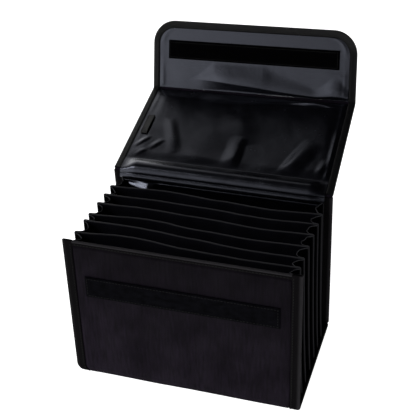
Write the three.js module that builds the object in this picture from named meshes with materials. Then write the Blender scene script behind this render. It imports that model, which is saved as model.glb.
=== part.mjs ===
// Expanding pleated organiser bag, standing open.
// A strip of cloth over boards makes the front, the bottom, the back and a two-section flap.
// Pleated gussets close the sides, and cloth dividers part the inside into pockets.
// Millimetres, +Z up, the front faces -Y, and the origin is the middle of the bottom face.
import * as THREE from 'three';

// Body of the bag
const WIDTH = 250;
const HEIGHT = 171;
const DEPTH = 153;
const FOLD_RADIUS = 2.5;
const HINGE = { y: 67, z: 177.2 };

// Cloth, boards and tape
const PANEL = 3;
const MARGIN = 1;
const WEB = 0.6;
const TAPE = 0.75;
const GAP = 0.25;
const SEAT = 0.3;
const GUSSET = 1;
const DIVIDER = 1.2;
const LINING = 1;
const SIDE_TAPE_WIDTH = 10.5;
const FLAP_TAPE_WIDTH = 8;
const HEM_WIDTH = 5;
const TAPE_BEVEL = 0.45;

// The lid leans back a little more on its left, so the flap above it stands slightly twisted
const LID = { length: 142, leftAngle: 15.4, rightAngle: 18.6 };
const FLAP = { length: 83.5, angle: 80, cornerRadius: 27.5, cornerSteps: 6 };
const FLAP_LINES = {
  hinge: { width: 250, shift: 0 },
  crease: { width: 247.6, shift: -1.3 },
  top: { width: 243.7, shift: -2.7 },
};
const HINGE_CLEARANCE = 1.2;
const CREASE_CLEARANCE = 2.2;
const LID_STEPS = 16;
const BEND_STEPS = [0.2, 0.4, 0.6, 0.8];

// How far the shell's edges draw in at each corner of the base, seen from the front
const CORNERS = [
  { name: 'front', left: 8, right: 2 },
  { name: 'back', left: 1, right: 1 },
];
const CORNER_REACH = 14;
const CORNER_STOPS = [3.5, 6, 8.5, 11, CORNER_REACH];

// Dividers from back to front: where the top edge meets each gusset, where the foot stands,
// and how far the cloth bellies back on the left half and forward on the right half
const DIVIDERS = [
  { left: 40, right: 40, foot: 47, back: 4, front: 4 },
  { left: 21.5, right: 20.3, foot: 28, back: 2, front: 2.8 },
  { left: 2.7, right: -0.6, foot: 9, back: 2.4, front: 3.2 },
  { left: -20.4, right: -22.9, foot: -12, back: 5, front: 2.2 },
  { left: -33.4, right: -44.4, foot: -33, back: 3, front: 2.6 },
  { left: -56.8, right: -60.7, foot: -51, back: 6, front: 1.6 },
];
const DIVIDER_DROP = 0.8;
const DIVIDER_COLUMNS = 16;
const DIVIDER_ROWS = 5;
const BELLY_CROSSING = 0.53;

// Gusset sections from foot to top: how far ridges and valleys lie in from the side edge
const GUSSET_SECTIONS = [
  { height: 0, ridge: 3.4, valley: 9.5 },
  { height: 0.07, ridge: 3.7, valley: 11 },
  { height: 0.18, ridge: 4.4, valley: 13.5 },
  { height: 0.4, ridge: 5.2, valley: 15 },
  { height: 0.7, ridge: 5.8, valley: 15.4 },
  { height: 1, ridge: 6, valley: 15.5 },
];
const GUSSET_END_INSET = 9.8;
const GUSSET_DROP = 1.2;
const RIDGE_HALF = 1.7;

// Points of half a pleat: how far along towards the valley, and how deep.
// From a sewn ridge the cloth runs straight in and then swings round; from a panel it curves away.
const RIDGE_POINTS = [
  { along: 0.14, deep: 0.5 },
  { along: 0.42, deep: 0.78 },
  { along: 0.74, deep: 0.95 },
];
const PANEL_POINTS = [
  { along: 0.3, deep: 0.3 },
  { along: 0.6, deep: 0.66 },
  { along: 0.85, deep: 0.93 },
];

// Folds in the linings: each runs between two points across (from the middle) and along the cloth
const LID_FOLDS = [
  { name: 'middle fold', fromX: 12, fromS: 57, toX: 2, toS: 18, rise: 1.8, spread: 6 },
  { name: 'slant fold', fromX: 80, fromS: 72, toX: 56, toS: 16, rise: 2.2, spread: 5 },
  { name: 'right edge fold', fromX: 110, fromS: 126, toX: 108, toS: 16, rise: 2, spread: 4 },
  { name: 'left pucker', fromX: -78, fromS: 30, toX: -64, toS: 56, rise: 1.4, spread: 5 },
];
const FLAP_FOLDS = [
  { name: 'crease fold', fromX: -30, fromS: 7, toX: 106, toS: 4, rise: 6, spread: 3.6 },
  { name: 'crease swell', fromX: -95, fromS: 7, toX: 20, toS: 7, rise: 1.6, spread: 6 },
];
const FOLD_END_TAPER = 0.7;
const LID_LINING_GRID = { columns: 24, rows: 12 };
const FLAP_LINING_GRID = { columns: 20, rows: 11, crowding: 0.4 };
const LINING_CREASE_GAP = 2.8;
const LINING_BASE = 0.5;
const BACK_LINING = { top: 168, standOff: 2.5, hem: 2, hemWidth: 3, inset: 14 };
const HINGE_ROLL = { foot: 170.6, end: 6, out: 3.2, up: 3.4, steps: 6 };

// Closure strips and tag
const LOOP_STRIP = { length: 207, width: 25, thick: 1.2, middle: 117.3, corner: 1 };
const HOOK_STRIP = { length: 209, width: 22, thick: 1.4, middle: 49.5 };
const TAG = { from: 59, to: 89, inset: 12, width: 8, thick: 1, lift: 1.2 };

// Colours
const CLOTH = { color: 0x26262b, roughness: 0.85 };
const LINING_CLOTH = { color: 0x1c1f28, roughness: 0.35 };
const GUSSET_CLOTH = { color: 0x202026, roughness: 0.7 };
const TAPE_CLOTH = { color: 0x1b1b1e, roughness: 0.9 };
const LOOP_CLOTH = { color: 0x151518, roughness: 0.95 };
const HOOK_CLOTH = { color: 0x0b0b0d, roughness: 0.95 };

// Worked-out sizes
const HALF_PANEL = PANEL / 2;
const FRONT_Y = -DEPTH / 2 + HALF_PANEL;
const BACK_Y = DEPTH / 2 - HALF_PANEL;
const FOLD_Z = HALF_PANEL + FOLD_RADIUS;
const FOLD_RUN = FOLD_RADIUS * Math.PI / 2;
const FRONT_END = HEIGHT - FOLD_Z;
const BOTTOM_START = FRONT_END + FOLD_RUN;
const BOTTOM_END = BOTTOM_START + BACK_Y - FRONT_Y - 2 * FOLD_RADIUS;
const BACK_START = BOTTOM_END + FOLD_RUN;
const BACK_RUN = Math.hypot(HINGE.z - FOLD_Z, BACK_Y - HINGE.y);
const SHELL_END = BACK_START + BACK_RUN - HALF_PANEL - SEAT;
const CORNER_MIDDLES = { front: FRONT_END + FOLD_RUN / 2, back: BOTTOM_END + FOLD_RUN / 2 };
const GUSSET_FOOT = PANEL + SEAT;
const EDGE_IN = TAPE + GAP;

const vec = (x, y, z) => new THREE.Vector3(x, y, z);
const radians = THREE.MathUtils.degToRad;
const mix = THREE.MathUtils.lerp;

// Triangles that close a ring of any shape, facing the way the ring turns
function shapeCap(ring) {
  const normal = vec(0, 0, 0);
  ring.forEach((point, i) => normal.add(point.clone().cross(ring[(i + 1) % ring.length])));
  normal.normalize();
  const across = Math.abs(normal.x) < Math.abs(normal.y) ? vec(1, 0, 0) : vec(0, 1, 0);
  const u = across.cross(normal).normalize();
  const v = normal.clone().cross(u);
  const flat = ring.map((point) => new THREE.Vector2(point.dot(u), point.dot(v)));
  const faces = THREE.ShapeUtils.triangulateShape(flat, []);
  return faces.map(([a, b, c]) => {
    const turn = flat[b].clone().sub(flat[a]).cross(flat[c].clone().sub(flat[a]));
    return turn > 0 ? [a, b, c] : [a, c, b];
  });
}

// Triangles that close a thin ring, which runs along one side of a sheet and back along the other
function sheetCap(ring) {
  const faces = [];
  const last = ring.length - 1;
  for (let i = 0; i + 1 < ring.length / 2; i += 1) {
    faces.push([i, i + 1, last - i - 1], [i, last - i - 1, last - i]);
  }
  return faces;
}

// Joins rings with the same number of points into one closed solid
function loft(rings, cap = shapeCap) {
  const count = rings[0].length;
  const points = rings.flat();
  const faces = [];
  for (let r = 0; r + 1 < rings.length; r += 1) {
    for (let i = 0; i < count; i += 1) {
      const here = r * count;
      const next = (i + 1) % count;
      faces.push([here + i, here + next, here + count + next]);
      faces.push([here + i, here + count + next, here + count + i]);
    }
  }
  const last = (rings.length - 1) * count;
  cap(rings[0]).forEach(([a, b, c]) => faces.push([a, c, b]));
  cap(rings[rings.length - 1]).forEach((face) => faces.push(face.map((i) => i + last)));
  const wedge = ([a, b, c]) => points[a].dot(points[b].clone().cross(points[c]));
  const volume = faces.reduce((sum, face) => sum + wedge(face), 0);
  const outward = volume > 0 ? faces : faces.map(([a, b, c]) => [a, c, b]);
  const geometry = new THREE.BufferGeometry().setFromPoints(points);
  geometry.setIndex(outward.flat());
  geometry.computeVertexNormals();
  return geometry;
}

// A line across the strip of cloth, with the direction of its inner side at each end
function place(line, fraction, rise) {
  const inner = line.innerLeft.clone().lerp(line.innerRight, fraction).normalize();
  return line.left.clone().lerp(line.right, fraction).addScaledVector(inner, rise);
}

function placeFromLeft(line, distance, rise) {
  return place(line, distance / line.left.distanceTo(line.right), rise);
}

// Middle of the shell's thickness, running down the front, along the bottom and up the back
function shellPoint(s) {
  if (s <= FRONT_END) {
    return { y: FRONT_Y, z: HEIGHT - s, inner: vec(0, 1, 0) };
  }
  if (s <= BOTTOM_START) {
    const turn = (s - FRONT_END) / FOLD_RADIUS;
    const inner = vec(0, Math.cos(turn), Math.sin(turn));
    return { y: FRONT_Y + FOLD_RADIUS * (1 - inner.y), z: FOLD_Z - FOLD_RADIUS * inner.z, inner };
  }
  if (s <= BOTTOM_END) {
    return { y: FRONT_Y + FOLD_RADIUS + s - BOTTOM_START, z: HALF_PANEL, inner: vec(0, 0, 1) };
  }
  if (s <= BACK_START) {
    const turn = (s - BOTTOM_END) / FOLD_RADIUS;
    const inner = vec(0, -Math.sin(turn), Math.cos(turn));
    return { y: BACK_Y - FOLD_RADIUS * (1 + inner.y), z: FOLD_Z - FOLD_RADIUS * inner.z, inner };
  }
  const t = (s - BACK_START) / BACK_RUN;
  const inner = vec(0, FOLD_Z - HINGE.z, HINGE.y - BACK_Y).normalize();
  return { y: mix(BACK_Y, HINGE.y, t), z: mix(FOLD_Z, HINGE.z, t), inner };
}

function drawIn(s, side) {
  return CORNERS.reduce((sum, corner) => {
    const away = Math.abs(s - CORNER_MIDDLES[corner.name]) / CORNER_REACH;
    return sum + (away < 1 ? corner[side] * (1 + Math.cos(Math.PI * away)) / 2 : 0);
  }, 0);
}

function shellLine(s) {
  const { y, z, inner } = shellPoint(s);
  return {
    left: vec(-WIDTH / 2 + drawIn(s, 'left'), y, z),
    right: vec(WIDTH / 2 - drawIn(s, 'right'), y, z),
    innerLeft: inner,
    innerRight: inner,
  };
}

// Places along the shell that need a section, close together round the corners of the base
function shellStops(from, to) {
  const away = [FOLD_RUN / 4, FOLD_RUN / 2, ...CORNER_STOPS];
  const stops = Object.values(CORNER_MIDDLES).flatMap((middle) => (
    [middle, ...away.flatMap((distance) => [middle - distance, middle + distance])]));
  const between = stops.filter((s) => s > from + SEAT && s < to - SEAT);
  return [from, ...between.sort((a, b) => a - b), to];
}

// Lines across the lid and the flap
function flapCorner(line, side, y, z) {
  return vec(line.shift + side * line.width / 2, y, z);
}

function lidEnd(side, angle) {
  const y = HINGE.y + LID.length * Math.cos(radians(angle));
  const z = HINGE.z + LID.length * Math.sin(radians(angle));
  return flapCorner(FLAP_LINES.crease, side, y, z);
}

const FLAP_RISE = vec(0, Math.cos(radians(FLAP.angle)), Math.sin(radians(FLAP.angle)));
const HINGE_LEFT = flapCorner(FLAP_LINES.hinge, -1, HINGE.y, HINGE.z);
const HINGE_RIGHT = flapCorner(FLAP_LINES.hinge, 1, HINGE.y, HINGE.z);
const CREASE_LEFT = lidEnd(-1, LID.leftAngle);
const CREASE_RIGHT = lidEnd(1, LID.rightAngle);
const TOP_LEFT = CREASE_LEFT.clone().addScaledVector(FLAP_RISE, FLAP.length)
  .setX(FLAP_LINES.top.shift - FLAP_LINES.top.width / 2);
const TOP_RIGHT = CREASE_RIGHT.clone().addScaledVector(FLAP_RISE, FLAP.length)
  .setX(FLAP_LINES.top.shift + FLAP_LINES.top.width / 2);
const FLAP_ACROSS = CREASE_RIGHT.clone().sub(CREASE_LEFT).normalize();
const FLAP_INNER = FLAP_ACROSS.clone().cross(FLAP_RISE).normalize();

function lidInner(angle) {
  return vec(0, -Math.sin(radians(angle)), Math.cos(radians(angle)));
}

function lidLine(s) {
  return {
    left: HINGE_LEFT.clone().lerp(CREASE_LEFT, s / LID.length),
    right: HINGE_RIGHT.clone().lerp(CREASE_RIGHT, s / LID.length),
    innerLeft: lidInner(LID.leftAngle),
    innerRight: lidInner(LID.rightAngle),
  };
}

function flapLine(v) {
  return {
    left: CREASE_LEFT.clone().lerp(TOP_LEFT, v / FLAP.length),
    right: CREASE_RIGHT.clone().lerp(TOP_RIGHT, v / FLAP.length),
    innerLeft: FLAP_INNER,
    innerRight: FLAP_INNER,
  };
}

function placeOnFlap(point, rise) {
  return place(flapLine(point.v), 0.5 + point.x / FLAP_LINES.crease.width, rise);
}

// A panel's section: thin margins for the tape at both edges, and the thicker board between them
function panelRing(line, tapeWidth, boardInner, boardOuter) {
  const width = line.left.distanceTo(line.right);
  const edge = EDGE_IN;
  const board = tapeWidth + GAP;
  const half = MARGIN / 2;
  const section = [
    [edge, half], [board, half], [board, boardInner],
    [width - board, boardInner], [width - board, half], [width - edge, half],
    [width - edge, -half], [width - board, -half], [width - board, boardOuter],
    [board, boardOuter], [board, -half], [edge, -half],
  ];
  return section.map(([distance, rise]) => placeFromLeft(line, distance, rise));
}

const boardRing = (s) => panelRing(shellLine(s), SIDE_TAPE_WIDTH, HALF_PANEL, -HALF_PANEL);
const webRing = (line, tapeWidth) => panelRing(line, tapeWidth, WEB / 2, -WEB / 2);

// Lines across the cloth where it bends from one line to another round a corner line
function bendLines(from, corner, to) {
  const left = new THREE.QuadraticBezierCurve3(from.left, corner.left, to.left);
  const right = new THREE.QuadraticBezierCurve3(from.right, corner.right, to.right);
  return BEND_STEPS.map((t) => ({
    left: left.getPoint(t),
    right: right.getPoint(t),
    innerLeft: from.innerLeft.clone().lerp(to.innerLeft, t).normalize(),
    innerRight: from.innerRight.clone().lerp(to.innerRight, t).normalize(),
  }));
}

const hingeBend = () => bendLines(shellLine(SHELL_END), lidLine(0), lidLine(HINGE_CLEARANCE));
const creaseBend = () => bendLines(
  lidLine(LID.length - CREASE_CLEARANCE), flapLine(0), flapLine(CREASE_CLEARANCE));

function frontPanel() {
  const hemEnd = HEM_WIDTH + GAP;
  const board = shellStops(hemEnd + GAP, BOTTOM_START).map(boardRing);
  const web = [hemEnd, EDGE_IN].map((s) => webRing(shellLine(s), SIDE_TAPE_WIDTH));
  return loft([...board.reverse(), ...web]);
}

function bottomPanel() {
  return loft(shellStops(BOTTOM_START + SEAT, BOTTOM_END - SEAT).map(boardRing));
}

function backPanel() {
  const board = shellStops(BOTTOM_END, SHELL_END - GAP).map(boardRing);
  const web = [shellLine(SHELL_END), ...hingeBend()].map((line) => webRing(line, SIDE_TAPE_WIDTH));
  return loft([...board, ...web]);
}

// The lid's and the flap's boards are thinner on the inner side, where the lining lies on them
const FLAP_BOARD_INNER = LINING_BASE - SEAT;

function lidPanel() {
  const rings = [];
  const end = LID.length - CREASE_CLEARANCE;
  for (let step = 0; step <= LID_STEPS; step += 1) {
    const s = mix(HINGE_CLEARANCE, end - GAP, step / LID_STEPS);
    rings.push(panelRing(lidLine(s), FLAP_TAPE_WIDTH, FLAP_BOARD_INNER, -HALF_PANEL));
  }
  const web = [lidLine(end), ...creaseBend()].map((line) => webRing(line, FLAP_TAPE_WIDTH));
  return loft([...rings, ...web]);
}

// Edge of the flap from its left foot round to its right foot, with the direction inwards
function flapOutline(inset, foot) {
  const half = FLAP_LINES.crease.width / 2;
  const radius = FLAP.cornerRadius;
  const steps = FLAP.cornerSteps;
  const points = [{ x: -half + inset, v: foot, inX: 1, inV: 0 }];
  [-1, 1].forEach((side) => {
    for (let k = 0; k <= steps; k += 1) {
      const turn = Math.PI / 2 * (side < 0 ? k : steps - k) / steps;
      const inX = -side * Math.cos(turn);
      const inV = -Math.sin(turn);
      const x = side * (half - radius) - inX * (radius - inset);
      points.push({ x, v: FLAP.length - radius - inV * (radius - inset), inX, inV });
    }
  });
  points.push({ x: half - inset, v: foot, inX: -1, inV: 0 });
  return points;
}

function flapPanel() {
  const board = FLAP_TAPE_WIDTH + GAP;
  const half = MARGIN / 2;
  const levels = [
    { inset: board, rise: FLAP_BOARD_INNER },
    { inset: board, rise: half },
    { inset: EDGE_IN, rise: half },
    { inset: EDGE_IN, rise: -half },
    { inset: board, rise: -half },
    { inset: board, rise: -HALF_PANEL },
  ];
  return loft(levels.map(({ inset, rise }) => {
    const foot = CREASE_CLEARANCE + (inset === board ? SEAT : 0);
    return flapOutline(inset, foot).map((point) => placeOnFlap(point, rise));
  }));
}

// Tape folded over an edge: a channel that opens inwards
function tapeRing(edge, inward, inner, width) {
  const section = [
    [width, HALF_PANEL], [TAPE_BEVEL, HALF_PANEL], [0, HALF_PANEL - TAPE_BEVEL],
    [0, TAPE_BEVEL - HALF_PANEL], [TAPE_BEVEL, -HALF_PANEL], [width, -HALF_PANEL],
    [width, TAPE - HALF_PANEL], [TAPE, TAPE - HALF_PANEL],
    [TAPE, HALF_PANEL - TAPE], [width, HALF_PANEL - TAPE],
  ];
  return section.map(([a, b]) => edge.clone().addScaledVector(inward, a).addScaledVector(inner, b));
}

function sideBinding(side) {
  return loft(shellStops(0, SHELL_END).map((s) => {
    const line = shellLine(s);
    return tapeRing(line[side], vec(side === 'left' ? 1 : -1, 0, 0), line.innerLeft, SIDE_TAPE_WIDTH);
  }));
}

function frontHem() {
  const end = WIDTH / 2 - SIDE_TAPE_WIDTH - SEAT;
  return loft([-end, end].map((x) => (
    tapeRing(vec(x, FRONT_Y, HEIGHT), vec(0, 0, -1), vec(0, 1, 0), HEM_WIDTH))));
}

// Stops up one edge of the lid and round the bend at the crease
function lidEdge(side) {
  const sign = side === 'left' ? 1 : -1;
  const innerName = side === 'left' ? 'innerLeft' : 'innerRight';
  const lines = [];
  for (let step = 0; step <= LID_STEPS; step += 2) {
    lines.push(lidLine(mix(HINGE_CLEARANCE, LID.length - CREASE_CLEARANCE, step / LID_STEPS)));
  }
  return [...lines, ...creaseBend()].map((line) => ({
    edge: line[side],
    inward: line.right.clone().sub(line.left).normalize().multiplyScalar(sign),
    inner: line[innerName],
  }));
}

function flapBinding() {
  const round = flapOutline(0, CREASE_CLEARANCE).map((point) => ({
    edge: placeOnFlap(point, 0),
    inward: FLAP_ACROSS.clone().multiplyScalar(point.inX).addScaledVector(FLAP_RISE, point.inV),
    inner: FLAP_INNER,
  }));
  const stops = [...lidEdge('left'), ...round, ...lidEdge('right').reverse()];
  return loft(stops.map(({ edge, inward, inner }) => tapeRing(edge, inward, inner, FLAP_TAPE_WIDTH)));
}

// Gussets
function gussetSection(height) {
  const next = Math.max(1, GUSSET_SECTIONS.findIndex((section) => section.height >= height));
  const low = GUSSET_SECTIONS[next - 1];
  const high = GUSSET_SECTIONS[next];
  const t = (height - low.height) / (high.height - low.height);
  return { ridge: mix(low.ridge, high.ridge, t), valley: mix(low.valley, high.valley, t) };
}

const ridgeY = (divider, side, height) => mix(divider.foot, divider[side], height);

// Middle line of a gusset at one height, from the front panel to the back panel
function gussetLine(side, height) {
  const { ridge, valley } = gussetSection(height);
  const z = mix(GUSSET_FOOT, HEIGHT - GUSSET_DROP, height);
  const backInner = shellPoint(Math.max(BACK_START, BACK_START + z - FOLD_Z)).y - HALF_PANEL;
  const frontY = FRONT_Y + HALF_PANEL + SEAT;
  const backY = backInner - SEAT;
  const ridges = DIVIDERS.map((divider) => ridgeY(divider, side, height)).reverse();
  const ends = [
    { inset: GUSSET_END_INSET, y: frontY, half: 0, points: PANEL_POINTS },
    ...ridges.map((y) => ({ inset: ridge, y, half: RIDGE_HALF, points: RIDGE_POINTS })),
    { inset: GUSSET_END_INSET, y: backY, half: 0, points: PANEL_POINTS },
  ];
  const line = [];
  for (let k = 0; k + 1 < ends.length; k += 1) {
    const from = { inset: ends[k].inset, y: ends[k].y + ends[k].half };
    const to = { inset: ends[k + 1].inset, y: ends[k + 1].y - ends[k + 1].half };
    const middle = (from.y + to.y) / 2;
    line.push(from);
    ends[k].points.forEach(({ along, deep }) => {
      line.push({ inset: mix(from.inset, valley, deep), y: mix(from.y, middle, along) });
    });
    line.push({ inset: valley, y: middle });
    [...ends[k + 1].points].reverse().forEach(({ along, deep }) => {
      line.push({ inset: mix(to.inset, valley, deep), y: mix(to.y, middle, along) });
    });
    line.push(to);
  }
  return line;
}

// Moves a line sideways by a distance, with mitred corners and square ends
function offsetLine(line, distance) {
  return line.map((point, i) => {
    const before = line[i - 1];
    const after = line[i + 1];
    if (!before || !after) {
      return { inset: point.inset + distance, y: point.y };
    }
    const into = new THREE.Vector2(point.inset - before.inset, point.y - before.y).normalize();
    const out = new THREE.Vector2(after.inset - point.inset, after.y - point.y).normalize();
    const along = into.clone().add(out).normalize();
    const reach = distance / along.dot(out);
    return { inset: point.inset + along.y * reach, y: point.y - along.x * reach };
  });
}

// Where cloth seats on the inside of the shell, which climbs round the folds at front and back
function floorZ(y) {
  const radius = FOLD_RADIUS - HALF_PANEL - SEAT;
  const past = Math.max(0, FRONT_Y + FOLD_RADIUS - y, y - BACK_Y + FOLD_RADIUS);
  return FOLD_Z - Math.sqrt(Math.max(0, radius * radius - past * past));
}

function gusset(side) {
  const sign = side === 'left' ? -1 : 1;
  return loft(GUSSET_SECTIONS.map(({ height }) => {
    const middle = gussetLine(side, height);
    const ring = [...offsetLine(middle, GUSSET / 2), ...offsetLine(middle, -GUSSET / 2).reverse()];
    return ring.map(({ inset, y }) => {
      const z = mix(floorZ(y), HEIGHT - GUSSET_DROP, height);
      return vec(sign * (WIDTH / 2 - inset), y, z);
    });
  }), sheetCap);
}

// Dividers
function belly(divider, fraction) {
  if (fraction < BELLY_CROSSING) {
    return divider.back * Math.sin(Math.PI * fraction / BELLY_CROSSING) ** 2;
  }
  return -divider.front * Math.sin(Math.PI * (fraction - BELLY_CROSSING) / (1 - BELLY_CROSSING)) ** 2;
}

function dividerSheet(divider) {
  const rings = [];
  for (let row = 0; row < DIVIDER_ROWS; row += 1) {
    const height = row / (DIVIDER_ROWS - 1);
    const z = mix(GUSSET_FOOT, HEIGHT - DIVIDER_DROP, height);
    const half = WIDTH / 2 - gussetSection(height).ridge - GUSSET / 2 - SEAT;
    const front = [];
    const back = [];
    for (let column = 0; column <= DIVIDER_COLUMNS; column += 1) {
      const fraction = column / DIVIDER_COLUMNS;
      const x = mix(-half, half, fraction);
      const ends = mix(ridgeY(divider, 'left', height), ridgeY(divider, 'right', height), fraction);
      const y = ends + belly(divider, fraction) * height;
      front.push(vec(x, y - DIVIDER / 2, z));
      back.push(vec(x, y + DIVIDER / 2, z));
    }
    rings.push([...front, ...back.reverse()]);
  }
  return loft(rings, sheetCap);
}

// Linings
function foldRise(folds, x, s) {
  return folds.reduce((sum, fold) => {
    const run = new THREE.Vector2(fold.toX - fold.fromX, fold.toS - fold.fromS);
    const at = new THREE.Vector2(x - fold.fromX, s - fold.fromS);
    const t = THREE.MathUtils.clamp(at.dot(run) / run.lengthSq(), 0, 1);
    const away = at.addScaledVector(run, -t).length() / fold.spread;
    const swell = Math.sin(Math.PI * t) ** FOLD_END_TAPER;
    return sum + fold.rise * swell * Math.exp(-away * away / 2);
  }, 0);
}

// A sheet laid in rows, each row a line across with its half width
function liningSheet(rows, columns, folds) {
  return loft(rows.map(({ line, s, half, full, base }) => {
    const top = [];
    const under = [];
    for (let column = 0; column <= columns; column += 1) {
      const x = mix(-half, half, column / columns);
      const rise = base + foldRise(folds, x, s);
      under.push(place(line, 0.5 + x / full, rise));
      top.push(place(line, 0.5 + x / full, rise + LINING));
    }
    return [...top, ...under.reverse()];
  }), sheetCap);
}

// Moves a line off the cloth to its inner side
function raised(line, rise) {
  return { ...line, left: place(line, 0, rise), right: place(line, 1, rise) };
}

// Rows where the lid's lining rolls over the hinge and down the top of the back panel
function hingeRollRows() {
  const foot = raised(shellLine(BACK_START + HINGE_ROLL.foot - FOLD_Z), HALF_PANEL + SEAT);
  const end = raised(lidLine(HINGE_ROLL.end), LINING_BASE);
  const out = vec(0, -HINGE_ROLL.out, HINGE_ROLL.up);
  const corner = { left: HINGE_LEFT.clone().add(out), right: HINGE_RIGHT.clone().add(out) };
  const left = new THREE.QuadraticBezierCurve3(foot.left, corner.left, end.left);
  const right = new THREE.QuadraticBezierCurve3(foot.right, corner.right, end.right);
  const rows = [];
  for (let step = 0; step < HINGE_ROLL.steps; step += 1) {
    const t = step / HINGE_ROLL.steps;
    const line = {
      left: left.getPoint(t),
      right: right.getPoint(t),
      innerLeft: foot.innerLeft.clone().lerp(end.innerLeft, t).normalize(),
      innerRight: foot.innerRight.clone().lerp(end.innerRight, t).normalize(),
    };
    rows.push({ line, s: 0, base: 0 });
  }
  return rows;
}

function lidLining() {
  const rows = hingeRollRows();
  for (let row = 0; row <= LID_LINING_GRID.rows; row += 1) {
    const s = mix(HINGE_ROLL.end, LID.length - LINING_CREASE_GAP, row / LID_LINING_GRID.rows);
    rows.push({ line: lidLine(s), s, base: LINING_BASE });
  }
  const sized = rows.map((row) => {
    const full = row.line.left.distanceTo(row.line.right);
    return { ...row, full, half: full / 2 - FLAP_TAPE_WIDTH - SEAT };
  });
  return liningSheet(sized, LID_LINING_GRID.columns, LID_FOLDS);
}

function flapLining() {
  const inset = FLAP_TAPE_WIDTH + 2 * SEAT;
  const radius = FLAP.cornerRadius - inset;
  const top = FLAP.length - inset;
  const full = FLAP_LINES.crease.width;
  const rows = [];
  for (let row = 0; row <= FLAP_LINING_GRID.rows; row += 1) {
    const t = row / FLAP_LINING_GRID.rows;
    const v = mix(LINING_CREASE_GAP, top, mix(t, Math.sin(Math.PI / 2 * t), FLAP_LINING_GRID.crowding));
    const past = Math.max(0, v - top + radius);
    const cut = radius - Math.sqrt(Math.max(0, radius * radius - past * past));
    rows.push({ line: flapLine(v), s: v, half: full / 2 - inset - cut, full, base: LINING_BASE });
  }
  return liningSheet(rows, FLAP_LINING_GRID.columns, FLAP_FOLDS);
}

// The back's lining stands a little off the back panel towards its hemmed top edge
function backLining() {
  const foot = BACK_START + SEAT;
  const top = BACK_START + BACK_LINING.top - FOLD_Z;
  const hem = top - BACK_LINING.hemWidth;
  const rows = [
    { s: foot, thick: LINING },
    { s: hem - GAP, thick: LINING },
    { s: hem, thick: BACK_LINING.hem },
    { s: top, thick: BACK_LINING.hem },
  ];
  return loft(rows.map(({ s, thick }) => {
    const line = shellLine(s);
    const width = line.left.distanceTo(line.right);
    const rise = HALF_PANEL + SEAT + BACK_LINING.standOff * ((s - foot) / (top - foot)) ** 2;
    const ends = [BACK_LINING.inset, width - BACK_LINING.inset];
    const under = ends.map((distance) => placeFromLeft(line, distance, rise));
    const over = ends.map((distance) => placeFromLeft(line, distance, rise + thick));
    return [...under, ...over.reverse()];
  }));
}

// Closure strips and tag
function loopStrip() {
  const { length, width, thick, middle, corner } = LOOP_STRIP;
  const outline = new THREE.Shape();
  const x = length / 2 - corner;
  const z = width / 2 - corner;
  outline.absarc(x, z, corner, 0, Math.PI / 2);
  outline.absarc(-x, z, corner, Math.PI / 2, Math.PI);
  outline.absarc(-x, -z, corner, Math.PI, 1.5 * Math.PI);
  outline.absarc(x, -z, corner, 1.5 * Math.PI, 2 * Math.PI);
  const settings = { depth: thick, bevelEnabled: false, curveSegments: 2 };
  const geometry = new THREE.ExtrudeGeometry(outline, settings);
  geometry.rotateX(Math.PI / 2);
  geometry.translate(0, -DEPTH / 2 - SEAT, middle);
  return geometry;
}

function hookStrip() {
  const low = HALF_PANEL + SEAT;
  const x = HOOK_STRIP.length / 2;
  return loft([-1, 1].map((end) => {
    const v = HOOK_STRIP.middle + end * HOOK_STRIP.width / 2;
    const corners = [[-x, low], [x, low], [x, low + HOOK_STRIP.thick], [-x, low + HOOK_STRIP.thick]];
    return corners.map(([across, rise]) => placeOnFlap({ x: across, v }, rise));
  }));
}

function labelTag() {
  const low = HALF_PANEL + SEAT;
  return loft([TAG.from, TAG.to].map((s) => {
    const line = lidLine(s);
    const section = [
      [TAG.inset, low],
      [TAG.inset + TAG.width, low + TAG.lift],
      [TAG.inset + TAG.width, low + TAG.lift + TAG.thick],
      [TAG.inset, low + TAG.thick],
    ];
    return section.map(([distance, rise]) => placeFromLeft(line, distance, rise));
  }));
}

const bag = new THREE.Group();
bag.name = 'pleated_organiser_bag';

function add(name, geometry, { color, roughness }) {
  const material = new THREE.MeshStandardMaterial({ color, roughness, metalness: 0 });
  material.side = THREE.FrontSide;
  const mesh = new THREE.Mesh(geometry, material);
  mesh.name = name;
  bag.add(mesh);
}

add('front_panel', frontPanel(), CLOTH);
add('bottom_panel', bottomPanel(), CLOTH);
add('back_panel', backPanel(), CLOTH);
add('lid_panel', lidPanel(), CLOTH);
add('flap_panel', flapPanel(), CLOTH);
add('left_gusset', gusset('left'), GUSSET_CLOTH);
add('right_gusset', gusset('right'), GUSSET_CLOTH);
DIVIDERS.forEach((divider, i) => add(`divider_${i + 1}`, dividerSheet(divider), GUSSET_CLOTH));
add('back_lining', backLining(), LINING_CLOTH);
add('lid_lining', lidLining(), LINING_CLOTH);
add('flap_lining', flapLining(), LINING_CLOTH);
add('left_side_binding', sideBinding('left'), TAPE_CLOTH);
add('right_side_binding', sideBinding('right'), TAPE_CLOTH);
add('flap_binding', flapBinding(), TAPE_CLOTH);
add('front_hem', frontHem(), TAPE_CLOTH);
add('loop_strip', loopStrip(), LOOP_CLOTH);
add('hook_strip', hookStrip(), HOOK_CLOTH);
add('label_tag', labelTag(), TAPE_CLOTH);

export default bag;
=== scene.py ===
"""Looks of an open pleated organiser bag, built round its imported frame.

Sizes are in millimetres and turn into metres where a mesh is made.
"""
import math
from collections import namedtuple

import bpy
import numpy as np
from mathutils import Matrix, Vector, noise


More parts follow.
